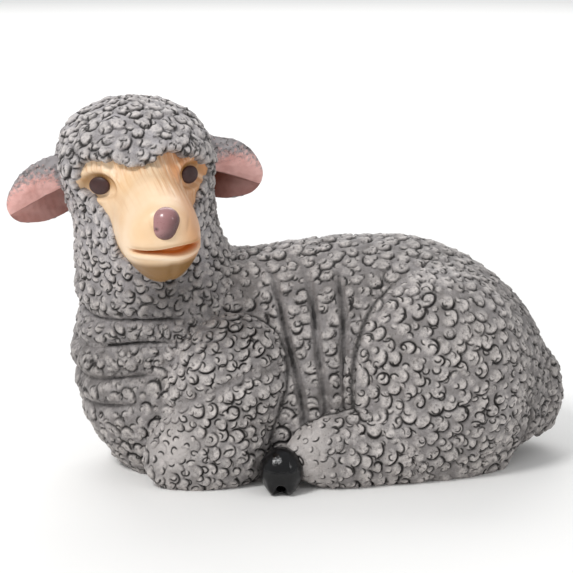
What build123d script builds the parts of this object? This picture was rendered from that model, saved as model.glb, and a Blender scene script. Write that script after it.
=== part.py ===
from build123d import *
import os
from math import cos, radians, sin, sqrt

# Lying sheep garden ornament: hollow resin castings, dowelled and glued together.
# X runs from the chest to the tail, the sheep's left side faces -Y, and Z is up from the ground.
# Lengths are in millimetres and angles in degrees.

# Castings and the joints between them
wall = 8.0
glue_gap = 0.3
dowel_diameter = 8.0
dowel_length = 26.0
dowel_fit = 0.1
cut_overrun = 5.0

# Furrows of the flank, folds of the neck and tufts of the cap
groove_depth = 4.0
furrow_width = 5.0
furrow_height = 100.0
fold_width = 5.0
fold_overlap = 10.0
tuft_diameter = 22.0
tuft_rise = 3.0

# Torso, floor and base plate
torso_length = 352.0
torso_width = 156.0
torso_height = 169.0
floor_thickness = 8.0
base_plate_length = 236.0
base_plate_width = 104.0
base_plate_thickness = 5.0
base_plate_fit = 0.2
base_ledge = 6.0

# Neck and head
neck_root_height = 71.0
head_height = 209.5
head_width = 114.0
head_depth = 116.0
head_lean = 23.0
head_reach = 12.0
head_yaw = 5.2
head_roll = 5.0

# Face, eyes and nose
face_inset = 3.0
brow_radius = 16.0
brow_spread = 34.0
brow_drop = 5.0
cheek_radius = 29.0
cheek_drop = 39.0
muzzle_reach = 122.0
muzzle_width = 65.0
muzzle_height = 72.0
mouth_width = 56.0
mouth_opening = 5.0
mouth_drop = 46.0
eye_diameter = 15.5
eye_thickness = 7.0
eye_round = 2.5
eye_spread = 35.0
eye_drop = 6.5
eye_turn = 31.0
nose_width = 20.0
nose_height = 24.0
nose_depth = 18.0
nose_drop = 28.0
nose_shift = 1.0
nose_spigot_diameter = 8.0
nose_spigot_length = 8.0

# Ears
ear_length = 54.0
ear_width = 51.0
ear_thickness = 17.0
ear_spread = 47.0
ear_drop = 4.0
ear_droop = 24.0
ear_sweep = 8.0
ear_twist = 25.0
ear_scoop_depth = 5.0
ear_pin_diameter = 4.0
ear_pin_length = 24.0

# Legs, hooves and tail
shoulder_length = 84.0
shoulder_thickness = 54.0
shoulder_height = 108.0
shoulder_tilt = 15.0
forearm_length = 88.0
forearm_thickness = 44.0
forearm_height = 56.0
thigh_length = 138.0
thigh_thickness = 90.0
thigh_height = 160.0
thigh_tilt = 20.0
shank_length = 124.0
shank_thickness = 48.0
shank_height = 60.0
shank_turn = 12.0
hoof_length = 32.0
hoof_width = 32.0
hoof_height = 36.0
hoof_lead = 2.8
hoof_side = 4.6
hoof_rise = 16.0
hoof_turn = 50.0
hoof_cleft = 2.0
hoof_pin_diameter = 6.0
hoof_pin_length = 22.0
hoof_pin_set = 6.2
tail_length = 32.0
tail_width = 58.0
tail_height = 68.0

# Torso sections: place along half the length, then half width, middle and half height.
# The chest bulges a little past the length.
torso_section_shares = (
    (-1.023, 0.16, 0.425, 0.085),
    (-1.008, 0.33, 0.420, 0.170),
    (-0.970, 0.50, 0.412, 0.235),
    (-0.900, 0.62, 0.385, 0.315),
    (-0.800, 0.72, 0.350, 0.390),
    (-0.680, 0.80, 0.325, 0.465),
    (-0.455, 0.88, 0.305, 0.605),
    (-0.170, 0.96, 0.300, 0.680),
    (0.170, 1.00, 0.300, 0.710),
    (0.455, 1.00, 0.290, 0.700),
    (0.680, 0.92, 0.285, 0.605),
    (0.850, 0.74, 0.280, 0.470),
    (0.955, 0.50, 0.285, 0.320),
    (1.000, 0.24, 0.295, 0.165),
)

# Neck and head sections: rise, lean from the neck to the head, half width and half depth.
head_section_shares = (
    (0.000, 0.04, 0.88, 0.76),
    (0.136, 0.26, 1.04, 0.89),
    (0.277, 0.38, 1.03, 0.94),
    (0.418, 0.50, 0.98, 0.93),
    (0.559, 0.68, 0.93, 0.92),
    (0.676, 0.87, 0.965, 0.96),
    (0.793, 1.00, 1.00, 1.00),
    (0.880, 1.00, 0.905, 0.91),
    (0.935, 1.00, 0.74, 0.75),
    (0.968, 1.00, 0.54, 0.55),
    (0.985, 1.00, 0.37, 0.38),
)

# Rings of tufts on the cap: row of the head sections, count, first turn and turn between tufts.
tuft_rings = ((6, 5, 40, 25), (7, 12, 15, 30), (8, 6, 0, 60), (10, 3, 30, 120))

# Muzzle sections: reach forwards, drop of the middle, half width and half height.
muzzle_section_shares = (
    (0.16, 0.36, 0.88, 0.88),
    (0.37, 0.42, 0.97, 1.00),
    (0.51, 0.46, 1.00, 1.00),
    (0.66, 0.50, 1.00, 0.97),
    (0.78, 0.53, 0.96, 0.90),
    (0.895, 0.51, 0.82, 0.75),
    (0.968, 0.47, 0.59, 0.53),
    (1.000, 0.44, 0.32, 0.28),
)

# Ear sections: place along the length, half width and half thickness.
ear_section_shares = (
    (-0.12, 0.50, 0.90),
    (0.12, 0.66, 1.00),
    (0.38, 0.97, 0.95),
    (0.60, 1.00, 0.85),
    (0.82, 0.72, 0.65),
    (0.95, 0.40, 0.40),
    (1.00, 0.20, 0.22),
)
ear_scoop_shares = (0.40, 0.38, 0.55)
ear_pin_share = 0.14

# Places on the torso: along half its length, across half its width and up its height.
neck_share = -0.65
shoulder_shares = (-0.42, 0.80, 0.43)
forearm_shares = (-0.53, 0.82, 0.11)
thigh_shares = (0.42, 0.67, 0.41)
shank_shares = (0.14, 0.95, 0.148)
tail_shares = (1.0, 0.0, 0.27)
furrow_shares = (-0.158, -0.045, 0.057)
furrow_leans = (-11, -4.5, 0)
furrow_level_share = 0.53
torso_fold_shares = (0.343, 0.473)
head_fold_shares = (0.146, 0.235)
foreleg_dowel_shares = ((-0.42, 0.865, 0.37), (-0.57, 0.78, 0.13))
hind_leg_dowel_shares = ((0.45, 0.97, 0.41), (0.17, 0.96, 0.13))
neck_dowel_shares = ((-0.65, -0.28, 0.76), (-0.65, 0.28, 0.76))
tail_dowel_shares = (0.96, 0.0, 0.26)
base_plate_share = 0.07
neck_foot_share = 0.44
head_centre_share = 0.768
oval_steps = 16


def on_torso(shares):
    """Point at the given shares of half the torso's length, half its width and its height."""
    return (
        shares[0] * torso_length / 2,
        shares[1] * torso_width / 2,
        shares[2] * torso_height,
    )


def left_of(point):
    """The same point on the sheep's left side, at -Y."""
    return (point[0], -point[1], point[2])


def oval(half_width, half_height):
    """Evenly turned points of an upright ellipse about the origin, for a closed smooth curve."""
    turns = [radians(step * 360 / oval_steps) for step in range(oval_steps)]
    return [(half_width * cos(turn), half_height * sin(turn)) for turn in turns]


def torso_form(grow):
    """Barrel of the body, grown outwards all round, not yet cut flat underneath."""
    with BuildPart() as form:
        for along, width, middle, height in torso_section_shares:
            section = Plane(
                origin=(along * (torso_length / 2 + grow), 0, middle * torso_height),
                x_dir=(0, 1, 0),
                z_dir=(1, 0, 0),
            )
            outline = oval(width * torso_width / 2 + grow, height * torso_height + grow)
            with BuildSketch(section):
                with BuildLine():
                    Spline(outline, periodic=True)
                make_face()
        loft()
    return form.part


def head_form(grow):
    """Neck and head in one, grown outwards all round, from inside the torso to the crown."""
    with BuildPart() as form:
        for rise, lean, width, depth in head_section_shares:
            level = Plane(
                origin=(
                    neck_share * torso_length / 2 - lean * head_lean,
                    -lean * head_reach,
                    neck_root_height + rise * (head_height + grow),
                )
            )
            outline = oval(width * head_width / 2 + grow, depth * head_depth / 2 + grow)
            with BuildSketch(level):
                with BuildLine():
                    Spline(outline, periodic=True)
                make_face()
        loft()
    return form.part


def muzzle_form(grow):
    """Tapered muzzle from inside the head to the lips, grown outwards all round."""
    with BuildPart() as form:
        for reach, drop, width, height in muzzle_section_shares:
            middle = Vector(0, -drop * muzzle_height, reach * (muzzle_reach + grow))
            section = Plane(
                origin=head_plane.from_local_coords(middle),
                x_dir=head_plane.x_dir,
                z_dir=head_plane.z_dir,
            )
            outline = oval(width * muzzle_width / 2 + grow, height * muzzle_height / 2 + grow)
            with BuildSketch(section):
                with BuildLine():
                    Spline(outline, periodic=True)
                make_face()
        loft()
    return form.part


def face_plug(grow):
    """Bar with the face's outline, a hull round both brows and the cheeks, running forwards."""
    with BuildPart() as form:
        with BuildSketch(head_plane.offset(head_depth / 6)):
            with Locations((-brow_spread, -brow_drop), (brow_spread, -brow_drop)):
                Circle(brow_radius + grow)
            with Locations((0, -cheek_drop)):
                Circle(cheek_radius + grow)
            make_hull()
        extrude(amount=head_depth)
    return form.part


def egg(length, width, height, place):
    """Ellipsoid of the given size, set at a location."""
    with BuildPart() as form:
        Sphere(1)
        scale(by=(length / 2, width / 2, height / 2))
    return form.part.moved(place)


def furrows():
    """Upright channels in the left flank, as deep as a groove."""
    with BuildPart() as form:
        for share, lean in zip(furrow_shares, furrow_leans):
            place = left_of(on_torso((share, 1, furrow_level_share)))
            with Locations(Location(place, (0, lean, 0))):
                Box(furrow_width, torso_width, furrow_height)
        add(torso_form(-groove_depth), mode=Mode.SUBTRACT)
    return form.part


def folds(form_inside, levels, middle, width):
    """Level channels round the front and left of a form, as deep as a groove."""
    with BuildPart() as form:
        for level in levels:
            with Locations((middle, fold_overlap, level)):
                Box(width, torso_width, fold_width, align=(Align.CENTER, Align.MAX, Align.CENTER))
        add(form_inside, mode=Mode.SUBTRACT)
    return form.part


def tufts():
    """Balls in rings about the crown, sunk into the head until they stand out by their rise."""
    with BuildPart() as form:
        for row, count, first, step in tuft_rings:
            rise, lean, width, depth = head_section_shares[row]
            for number in range(count):
                turn = radians(first + number * step)
                seat = Vector(
                    neck_share * torso_length / 2 - lean * head_lean + width * head_width / 2 * cos(turn),
                    -lean * head_reach + depth * head_depth / 2 * sin(turn),
                    neck_root_height + rise * head_height,
                )
                outwards = (seat - head_plane.origin).normalized()
                with Locations(seat - outwards * (tuft_diameter / 2 - tuft_rise)):
                    Sphere(tuft_diameter / 2)
    return form.part


def foreleg_form():
    """Left shoulder with the folded foreleg under it, not yet trimmed to the torso."""
    with BuildPart() as form:
        add(
            egg(
                shoulder_length,
                shoulder_thickness,
                shoulder_height,
                Location(left_of(on_torso(shoulder_shares)), (0, shoulder_tilt, 0)),
            )
        )
        add(
            egg(
                forearm_length,
                forearm_thickness,
                forearm_height,
                Location(left_of(on_torso(forearm_shares))),
            )
        )
    return form.part


def hind_leg_form(grow):
    """Left thigh with the lower leg lying forwards from it, not yet trimmed to the torso."""
    with BuildPart() as form:
        add(
            egg(
                thigh_length + 2 * grow,
                thigh_thickness + 2 * grow,
                thigh_height + 2 * grow,
                Location(left_of(on_torso(thigh_shares)), (0, thigh_tilt, 0)),
            )
        )
        add(
            egg(
                shank_length + 2 * grow,
                shank_thickness + 2 * grow,
                shank_height + 2 * grow,
                shank_place,
            )
        )
    return form.part


def dowels_across(places, radius, length):
    """Round bars lying across the sheep, centred on the given points."""
    with BuildPart() as form:
        with Locations(*[Location(place, (90, 0, 0)) for place in places]):
            Cylinder(radius, length)
    return form.part


def bar(place, radius, length):
    """Round bar along the Z axis of a location, centred on it."""
    with BuildPart() as form:
        Cylinder(radius, length)
    return form.part.moved(place)


# Head plane: its origin is the middle of the head, X runs to the sheep's left, Y up and Z forwards.
head_plane = Plane(
    origin=(
        neck_share * torso_length / 2 - head_lean,
        -head_reach,
        neck_root_height + head_centre_share * head_height,
    ),
    x_dir=(
        cos(radians(head_yaw)) * cos(radians(head_roll)),
        sin(radians(head_yaw)) * cos(radians(head_roll)),
        sin(radians(head_roll)),
    ),
    z_dir=(sin(radians(head_yaw)), -cos(radians(head_yaw)), 0),
)
head_middle = Plane(origin=head_plane.origin, x_dir=head_plane.z_dir, z_dir=head_plane.x_dir)

# Places of the dowels and pins
foreleg_places = [on_torso(shares) for shares in foreleg_dowel_shares]
hind_leg_places = [on_torso(shares) for shares in hind_leg_dowel_shares]
leg_places = foreleg_places + hind_leg_places
neck_places = [Location(on_torso(shares)) for shares in neck_dowel_shares]
tail_place = Location(on_torso(tail_dowel_shares), (0, 90, 0))
shank_place = Location(left_of(on_torso(shank_shares)), (0, 0, shank_turn))
hoof_drop = hoof_rise - on_torso(shank_shares)[2]
hoof_pin_place = shank_place * Location(
    (hoof_pin_set - shank_length / 2, -hoof_side, hoof_drop), (0, 90, 0)
)
hoof_place = shank_place * Location(
    (-shank_length / 2 - hoof_lead, -hoof_side, hoof_drop), (0, 0, hoof_turn - shank_turn)
)
hole_radius = dowel_diameter / 2 + dowel_fit

# Left ear plane: Z runs along the ear to its tip, X across it and Y out of its open side.
ear_axis = Vector(
    cos(radians(ear_droop)) * cos(radians(ear_sweep)),
    -sin(radians(ear_droop)) * cos(radians(ear_sweep)),
    -sin(radians(ear_sweep)),
)
ear_level = Vector(sin(radians(ear_droop)), cos(radians(ear_droop)), 0)
ear_across = ear_level * cos(radians(ear_twist)) + ear_axis.cross(ear_level) * sin(radians(ear_twist))
ear_plane = Plane(
    origin=head_plane.from_local_coords(Vector(ear_spread, -ear_drop, 0)),
    x_dir=head_plane.from_local_coords(ear_across) - head_plane.origin,
    z_dir=head_plane.from_local_coords(ear_axis) - head_plane.origin,
)
ear_pin_place = Location(ear_plane.offset(ear_pin_share * ear_length))

# Left eye plane: its origin lies on the face and Z looks out of the eye.
eye_reach = head_depth / 2 * sqrt(1 - (2 * eye_spread / head_width) ** 2) - face_inset
eye_look = Vector(sin(radians(eye_turn)), 0, cos(radians(eye_turn)))
eye_plane = Plane(
    origin=head_plane.from_local_coords(Vector(eye_spread, -eye_drop, eye_reach)),
    z_dir=head_plane.from_local_coords(eye_look) - head_plane.origin,
)

# Forms that several castings share
torso_outer = torso_form(0)
torso_inner = torso_form(-wall)
torso_clear = torso_form(glue_gap)
head_outer = head_form(0)
head_inner = head_form(-wall)
head_skin = head_form(-face_inset)
head_clear = head_form(glue_gap)
muzzle_outer = muzzle_form(0)
muzzle_clear = muzzle_form(glue_gap)
plug_outer = face_plug(0)
plug_clear = face_plug(glue_gap)

# Hollow torso, before it is parted along the spine
with BuildPart() as torso_hollow:
    add(torso_inner)
    split(bisect_by=Plane.XY.offset(floor_thickness), keep=Keep.TOP)

with BuildPart() as torso:
    add(torso_outer)
    split(bisect_by=Plane.XY, keep=Keep.TOP)
    add(torso_hollow.part, mode=Mode.SUBTRACT)
    left_furrows = furrows()
    add(left_furrows, mode=Mode.SUBTRACT)
    add(left_furrows.mirror(Plane.XZ), mode=Mode.SUBTRACT)
    torso_levels = [share * torso_height for share in torso_fold_shares]
    chest_folds = folds(torso_form(-groove_depth), torso_levels, -torso_length / 2, torso_length / 4)
    add(chest_folds, mode=Mode.SUBTRACT)
    with BuildSketch(Plane.XY):
        with Locations((base_plate_share * torso_length / 2, 0)):
            SlotOverall(base_plate_length - 2 * base_ledge, base_plate_width - 2 * base_ledge)
    extrude(amount=floor_thickness + cut_overrun, mode=Mode.SUBTRACT)
    with BuildSketch(Plane.XY):
        with Locations((base_plate_share * torso_length / 2, 0)):
            SlotOverall(base_plate_length, base_plate_width)
    extrude(amount=base_plate_thickness, mode=Mode.SUBTRACT)
    add(dowels_across(leg_places, hole_radius, dowel_length + cut_overrun), mode=Mode.SUBTRACT)
    add(
        dowels_across([left_of(place) for place in leg_places], hole_radius, dowel_length + cut_overrun),
        mode=Mode.SUBTRACT,
    )
    for place in neck_places:
        add(bar(place, hole_radius, dowel_length + cut_overrun), mode=Mode.SUBTRACT)
    add(bar(tail_place, hole_radius, dowel_length + cut_overrun), mode=Mode.SUBTRACT)

with BuildPart() as torso_left_shell:
    add(torso.part)
    split(bisect_by=Plane.XZ, keep=Keep.TOP)

with BuildPart() as torso_right_shell:
    add(torso.part)
    split(bisect_by=Plane.XZ, keep=Keep.BOTTOM)

# Base plate, flush with the ground
with BuildPart() as base_plate:
    with BuildSketch(Plane.XY):
        with Locations((base_plate_share * torso_length / 2, 0)):
            SlotOverall(base_plate_length - 2 * base_plate_fit, base_plate_width - 2 * base_plate_fit)
    extrude(amount=base_plate_thickness)

# Neck and head casting, hollow above a solid foot
with BuildPart() as head_hollow:
    add(head_inner)
    split(
        bisect_by=Plane.XY.offset(neck_root_height + neck_foot_share * head_height),
        keep=Keep.TOP,
    )

with BuildPart() as head_shell:
    add(head_outer)
    add(tufts())
    add(head_hollow.part, mode=Mode.SUBTRACT)
    head_levels = [neck_root_height + share * head_height for share in head_fold_shares]
    neck_folds = folds(head_form(-groove_depth), head_levels, neck_share * torso_length / 2, 2 * head_width)
    add(neck_folds, mode=Mode.SUBTRACT)
    add(torso_clear, mode=Mode.SUBTRACT)
    add(plug_clear, mode=Mode.SUBTRACT)
    add(muzzle_clear, mode=Mode.SUBTRACT)
    for place in neck_places:
        add(bar(place, hole_radius, dowel_length + cut_overrun), mode=Mode.SUBTRACT)
    ear_hole = bar(ear_pin_place, ear_pin_diameter / 2 + dowel_fit, ear_pin_length + cut_overrun)
    add(ear_hole, mode=Mode.SUBTRACT)
    add(ear_hole.mirror(head_middle), mode=Mode.SUBTRACT)

# Face casting with its mouth, eye sockets and nose socket
eye_socket = bar(
    Location(eye_plane.offset((cut_overrun - eye_thickness) / 2)),
    eye_diameter / 2 + glue_gap,
    eye_thickness + cut_overrun,
)
nose_plane = head_plane.shift_origin(head_plane.from_local_coords(Vector(nose_shift, -nose_drop, 0)))
nose_centre = nose_plane.offset(muzzle_section_shares[-2][0] * muzzle_reach)
spigot_place = Location(nose_centre.offset((nose_depth / 2 - nose_spigot_length) / 2))

with BuildPart() as face_casting:
    add(plug_outer)
    add(head_skin, mode=Mode.INTERSECT)
    add(muzzle_outer)
    with BuildSketch(head_plane.offset(muzzle_section_shares[3][0] * muzzle_reach)):
        with Locations((0, -mouth_drop)):
            Ellipse(mouth_width / 2, mouth_opening / 2)
    extrude(amount=muzzle_reach, mode=Mode.SUBTRACT)
    add(eye_socket, mode=Mode.SUBTRACT)
    add(eye_socket.mirror(head_middle), mode=Mode.SUBTRACT)
    add(
        bar(spigot_place, nose_spigot_diameter / 2 + dowel_fit, nose_spigot_length + 2 * glue_gap),
        mode=Mode.SUBTRACT,
    )

with BuildPart() as nose_pad:
    add(egg(nose_width, nose_height, nose_depth, Location(nose_centre)))
    add(muzzle_clear, mode=Mode.SUBTRACT)
    add(bar(spigot_place, nose_spigot_diameter / 2, nose_spigot_length))

with BuildPart() as left_eye:
    add(bar(Location(eye_plane.offset(-eye_thickness / 2 + glue_gap)), eye_diameter / 2, eye_thickness))
    eye_front = left_eye.faces().sort_by(Axis(eye_plane.origin, eye_plane.z_dir))[-1]
    fillet(eye_front.edges(), eye_round)

with BuildPart() as right_eye:
    add(left_eye.part.mirror(head_middle))

# Ears, each pinned to the side of the head
with BuildPart() as ear_blank:
    for along, width, thickness in ear_section_shares:
        outline = oval(width * ear_width / 2, thickness * ear_thickness / 2)
        with BuildSketch(ear_plane.offset(along * ear_length)):
            with BuildLine():
                Spline(outline, periodic=True)
            make_face()
    loft()
    scoop_place = Location(ear_plane) * Location((0, ear_thickness / 2, ear_scoop_shares[2] * ear_length))
    add(
        egg(
            2 * ear_scoop_shares[0] * ear_width,
            2 * ear_scoop_depth,
            2 * ear_scoop_shares[1] * ear_length,
            scoop_place,
        ),
        mode=Mode.SUBTRACT,
    )
    add(
        bar(ear_pin_place, ear_pin_diameter / 2 + dowel_fit, ear_pin_length + 2 * glue_gap),
        mode=Mode.SUBTRACT,
    )

with BuildPart() as left_ear:
    add(ear_blank.part)
    add(head_clear, mode=Mode.SUBTRACT)

with BuildPart() as right_ear:
    add(ear_blank.part.mirror(head_middle))
    add(head_clear, mode=Mode.SUBTRACT)

with BuildPart() as left_ear_pin:
    add(bar(ear_pin_place, ear_pin_diameter / 2, ear_pin_length))

with BuildPart() as right_ear_pin:
    add(left_ear_pin.part.mirror(head_middle))

# Legs, trimmed to the torso and the ground
leg_holes = dowels_across(
    [left_of(place) for place in leg_places], hole_radius, dowel_length + 2 * glue_gap
)

with BuildPart() as left_foreleg:
    add(foreleg_form())
    split(bisect_by=Plane.XY, keep=Keep.TOP)
    add(torso_clear, mode=Mode.SUBTRACT)
    add(head_clear, mode=Mode.SUBTRACT)
    add(leg_holes, mode=Mode.SUBTRACT)

with BuildPart() as left_hind_leg:
    add(hind_leg_form(0))
    split(bisect_by=Plane.XY, keep=Keep.TOP)
    add(torso_clear, mode=Mode.SUBTRACT)
    add(leg_holes, mode=Mode.SUBTRACT)
    add(
        bar(hoof_pin_place, hoof_pin_diameter / 2 + dowel_fit, hoof_pin_length + 2 * glue_gap),
        mode=Mode.SUBTRACT,
    )

with BuildPart() as left_hind_hoof:
    add(egg(hoof_length, hoof_width, hoof_height, hoof_place))
    split(bisect_by=Plane.XY, keep=Keep.TOP)
    add(hind_leg_form(glue_gap), mode=Mode.SUBTRACT)
    with BuildSketch(Plane(hoof_place)):
        with Locations((-hoof_length / 2, 0)):
            Rectangle(hoof_length / 4, hoof_cleft)
    extrude(amount=hoof_height, both=True, mode=Mode.SUBTRACT)
    add(
        bar(hoof_pin_place, hoof_pin_diameter / 2 + dowel_fit, hoof_pin_length + 2 * glue_gap),
        mode=Mode.SUBTRACT,
    )

with BuildPart() as right_foreleg:
    add(left_foreleg.part.mirror(Plane.XZ))

with BuildPart() as right_hind_leg:
    add(left_hind_leg.part.mirror(Plane.XZ))

with BuildPart() as right_hind_hoof:
    add(left_hind_hoof.part.mirror(Plane.XZ))

# Tail
with BuildPart() as tail:
    add(egg(tail_length, tail_width, tail_height, Location(on_torso(tail_shares))))
    add(torso_clear, mode=Mode.SUBTRACT)
    add(bar(tail_place, hole_radius, dowel_length + 2 * glue_gap), mode=Mode.SUBTRACT)

# Dowels and pins
with BuildPart() as foreleg_dowels:
    add(dowels_across(foreleg_places, dowel_diameter / 2, dowel_length))
    add(
        dowels_across([left_of(place) for place in foreleg_places], dowel_diameter / 2, dowel_length)
    )

with BuildPart() as hind_leg_dowels:
    add(dowels_across(hind_leg_places, dowel_diameter / 2, dowel_length))
    add(
        dowels_across([left_of(place) for place in hind_leg_places], dowel_diameter / 2, dowel_length)
    )

with BuildPart() as neck_dowels:
    for place in neck_places:
        add(bar(place, dowel_diameter / 2, dowel_length))

with BuildPart() as tail_dowel:
    add(bar(tail_place, dowel_diameter / 2, dowel_length))

with BuildPart() as left_hoof_pin:
    add(bar(hoof_pin_place, hoof_pin_diameter / 2, hoof_pin_length))

with BuildPart() as right_hoof_pin:
    add(left_hoof_pin.part.mirror(Plane.XZ))

# One file for each casting and each set of dowels
pieces = {
    "torso_left_shell": torso_left_shell,
    "torso_right_shell": torso_right_shell,
    "base_plate": base_plate,
    "head_shell": head_shell,
    "face_casting": face_casting,
    "nose_pad": nose_pad,
    "left_eye": left_eye,
    "right_eye": right_eye,
    "left_ear": left_ear,
    "right_ear": right_ear,
    "left_ear_pin": left_ear_pin,
    "right_ear_pin": right_ear_pin,
    "left_foreleg": left_foreleg,
    "right_foreleg": right_foreleg,
    "left_hind_leg": left_hind_leg,
    "right_hind_leg": right_hind_leg,
    "left_hind_hoof": left_hind_hoof,
    "right_hind_hoof": right_hind_hoof,
    "tail": tail,
    "neck_dowels": neck_dowels,
    "foreleg_dowels": foreleg_dowels,
    "hind_leg_dowels": hind_leg_dowels,
    "tail_dowel": tail_dowel,
    "left_hoof_pin": left_hoof_pin,
    "right_hoof_pin": right_hoof_pin,
}
os.makedirs("parts", exist_ok=True)
for name, piece in pieces.items():
    piece.part.label = name
    export_step(piece.part, f"parts/{name}.step")
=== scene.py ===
import logging
import math
from dataclasses import dataclass, field
from enum import Enum
from typing import Callable, Sequence

import bpy
import numpy as np
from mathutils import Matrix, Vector


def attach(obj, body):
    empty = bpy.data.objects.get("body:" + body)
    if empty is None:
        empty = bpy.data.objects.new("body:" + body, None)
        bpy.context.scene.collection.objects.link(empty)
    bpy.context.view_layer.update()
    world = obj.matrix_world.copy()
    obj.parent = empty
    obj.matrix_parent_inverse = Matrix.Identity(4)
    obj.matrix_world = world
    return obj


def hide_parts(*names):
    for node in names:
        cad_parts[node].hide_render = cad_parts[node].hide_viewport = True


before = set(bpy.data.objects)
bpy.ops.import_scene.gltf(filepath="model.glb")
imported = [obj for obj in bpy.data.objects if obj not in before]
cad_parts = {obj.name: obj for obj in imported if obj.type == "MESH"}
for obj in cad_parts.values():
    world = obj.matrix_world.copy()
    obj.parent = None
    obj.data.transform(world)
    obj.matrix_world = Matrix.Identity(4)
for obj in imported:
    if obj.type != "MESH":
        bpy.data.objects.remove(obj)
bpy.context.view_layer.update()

# The lying sheep ornament's fleece, face, ears, hooves and paint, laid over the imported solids.
# Lengths are millimetres until a mesh is written, where they become metres.

Array = np.ndarray
Point = tuple[float, float, float]
Field = Callable[[Array], Array]
Lean = Callable[[Array], Array]
log = logging.getLogger("sheep")
MM = 0.001
TINY = 1e-9
FULL_TURN = 2.0 * math.pi
ORIGIN = np.zeros(3)
X, Y, Z = np.eye(3)
LEFT = -1.0
RIGHT = 1.0
SIDES = ((LEFT, "left"), (RIGHT, "right"))
# Across the face the sheep's left is positive.
FACE_SIDES = ((1.0, "left"), (-1.0, "right"))
# Longest rays to the surfaces, and how often each is halved.
FLEECE_RAY = 260.0
FACE_RAY = 200.0
NOSE_RAY = 40.0
HALVINGS = 19
# Radians that the arcs of curls go round to, how common each is, and where they start.
WINDS = (1.5, 2.5, 4.4)
WIND_SHARES = (0.7, 0.22, 0.08)
ARC_START = -1.6


class Finish(Enum):
    """Names of paint slots; no piece in this script is given one."""

    FLEECE = "fleece"
    FACE = "face"
    NOSE = "nose"
    EYE = "eye"
    EAR = "ear"
    HOOF = "hoof"


def smooth(low: float, high: float, value: Array) -> Array:
    """Cubic step from 0 at low to 1 at high.

    Args:
        low: where the step starts.
        high: where the step ends.
        value: numbers to step.

    Returns:
        Steps of the same shape as value.
    """
    share = np.clip((value - low) / (high - low), 0.0, 1.0)
    return share * share * (3.0 - 2.0 * share)


def fade(low: float, high: float, value: Array) -> Array:
    """Cubic step from 1 at low to 0 at high."""
    return 1.0 - smooth(low, high, value)


def bell(value: Array, width: float) -> Array:
    """Bell curve of height 1 and the given half width."""
    return np.exp(-((value / width) ** 2))


def parts(points: Array) -> Array:
    """The three coordinates of points, one array after the other."""
    return np.moveaxis(points, -1, 0)


def unit(vectors: Array) -> Array:
    """Vectors of length 1 along the last axis."""
    length = np.linalg.norm(vectors, axis=-1, keepdims=True)
    return vectors / np.maximum(length, TINY)


def merge(first: Array, second: Array, reach: float) -> Array:
    """Union of two distance fields with a fillet.

    Args:
        first: distances to one form.
        second: distances to the other form.
        reach: how far from the meeting line the fillet starts.

    Returns:
        The lower distance, lowered further near the meeting line by a parabola.
    """
    share = np.clip(0.5 + 0.5 * (second - first) / reach, 0.0, 1.0)
    return second + (first - second) * share - reach * share * (1.0 - share)


def curve(stations: Array, values: Array, at: Array) -> Array:
    """Smooth curve through points: a cubic on each span, its slopes taken from the neighbours.

    Args:
        stations: rising places of the points.
        values: heights of the points.
        at: places to read.

    Returns:
        Heights at the places, held level beyond the ends.
    """
    slopes = np.gradient(values, stations)
    at = np.clip(at, stations[0], stations[-1])
    span = np.clip(np.searchsorted(stations, at, side="right") - 1, 0, len(stations) - 2)
    width = stations[span + 1] - stations[span]
    t = (at - stations[span]) / width
    rise = t * t * (3.0 - 2.0 * t)
    lift = t * (1.0 - t) ** 2 * slopes[span] + t * t * (t - 1.0) * slopes[span + 1]
    return values[span] * (1.0 - rise) + values[span + 1] * rise + width * lift


def ripple(points: Array, wavelength: float, seed: int) -> Array:
    """Smooth unevenness between about -1 and 1: seven sine waves in seeded directions added up.

    Args:
        points: places in millimetres.
        wavelength: length of one wave in millimetres.
        seed: choice of the directions.

    Returns:
        One number for each point.
    """
    rng = np.random.default_rng(seed)
    headings = unit(rng.normal(size=(7, 3))) * (FULL_TURN / wavelength)
    phases = rng.uniform(0.0, FULL_TURN, 7)
    return np.sin(points @ headings.T + phases).sum(axis=-1) / 3.5


def rotation(degrees: float, first: int, second: int) -> Array:
    """Matrix that turns the first axis towards the second."""
    angle = math.radians(degrees)
    matrix = np.eye(3)
    matrix[first, first] = matrix[second, second] = math.cos(angle)
    matrix[second, first] = math.sin(angle)
    matrix[first, second] = -math.sin(angle)
    return matrix


def sphere(polar: Array, columns: int) -> Array:
    """Unit vectors on a grid: rows at angles from the third axis, columns round it."""
    turn = np.linspace(0.0, FULL_TURN, columns, endpoint=False)[None]
    polar = polar[:, None]
    x, y = np.sin(polar) * np.cos(turn), np.sin(polar) * np.sin(turn)
    return np.stack([x, y, np.cos(polar) + 0.0 * turn], axis=-1)


@dataclass(frozen=True)
class Axes:
    """A set of directions square to each other, with an origin."""

    origin: Array
    across: Array
    up: Array
    ahead: Array

    def local(self, points: Array) -> Array:
        """Points as across, up and ahead."""
        offset = points - self.origin
        return np.stack([offset @ self.across, offset @ self.up, offset @ self.ahead], axis=-1)

    def world(self, points: Array) -> Array:
        """Points given as across, up and ahead, in the shared frame."""
        return self.origin + self.turn(points)

    def turn(self, vectors: Array) -> Array:
        """Directions given as across, up and ahead, in the shared frame."""
        return vectors[..., :1] * self.across + vectors[..., 1:2] * self.up + vectors[..., 2:] * self.ahead


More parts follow.
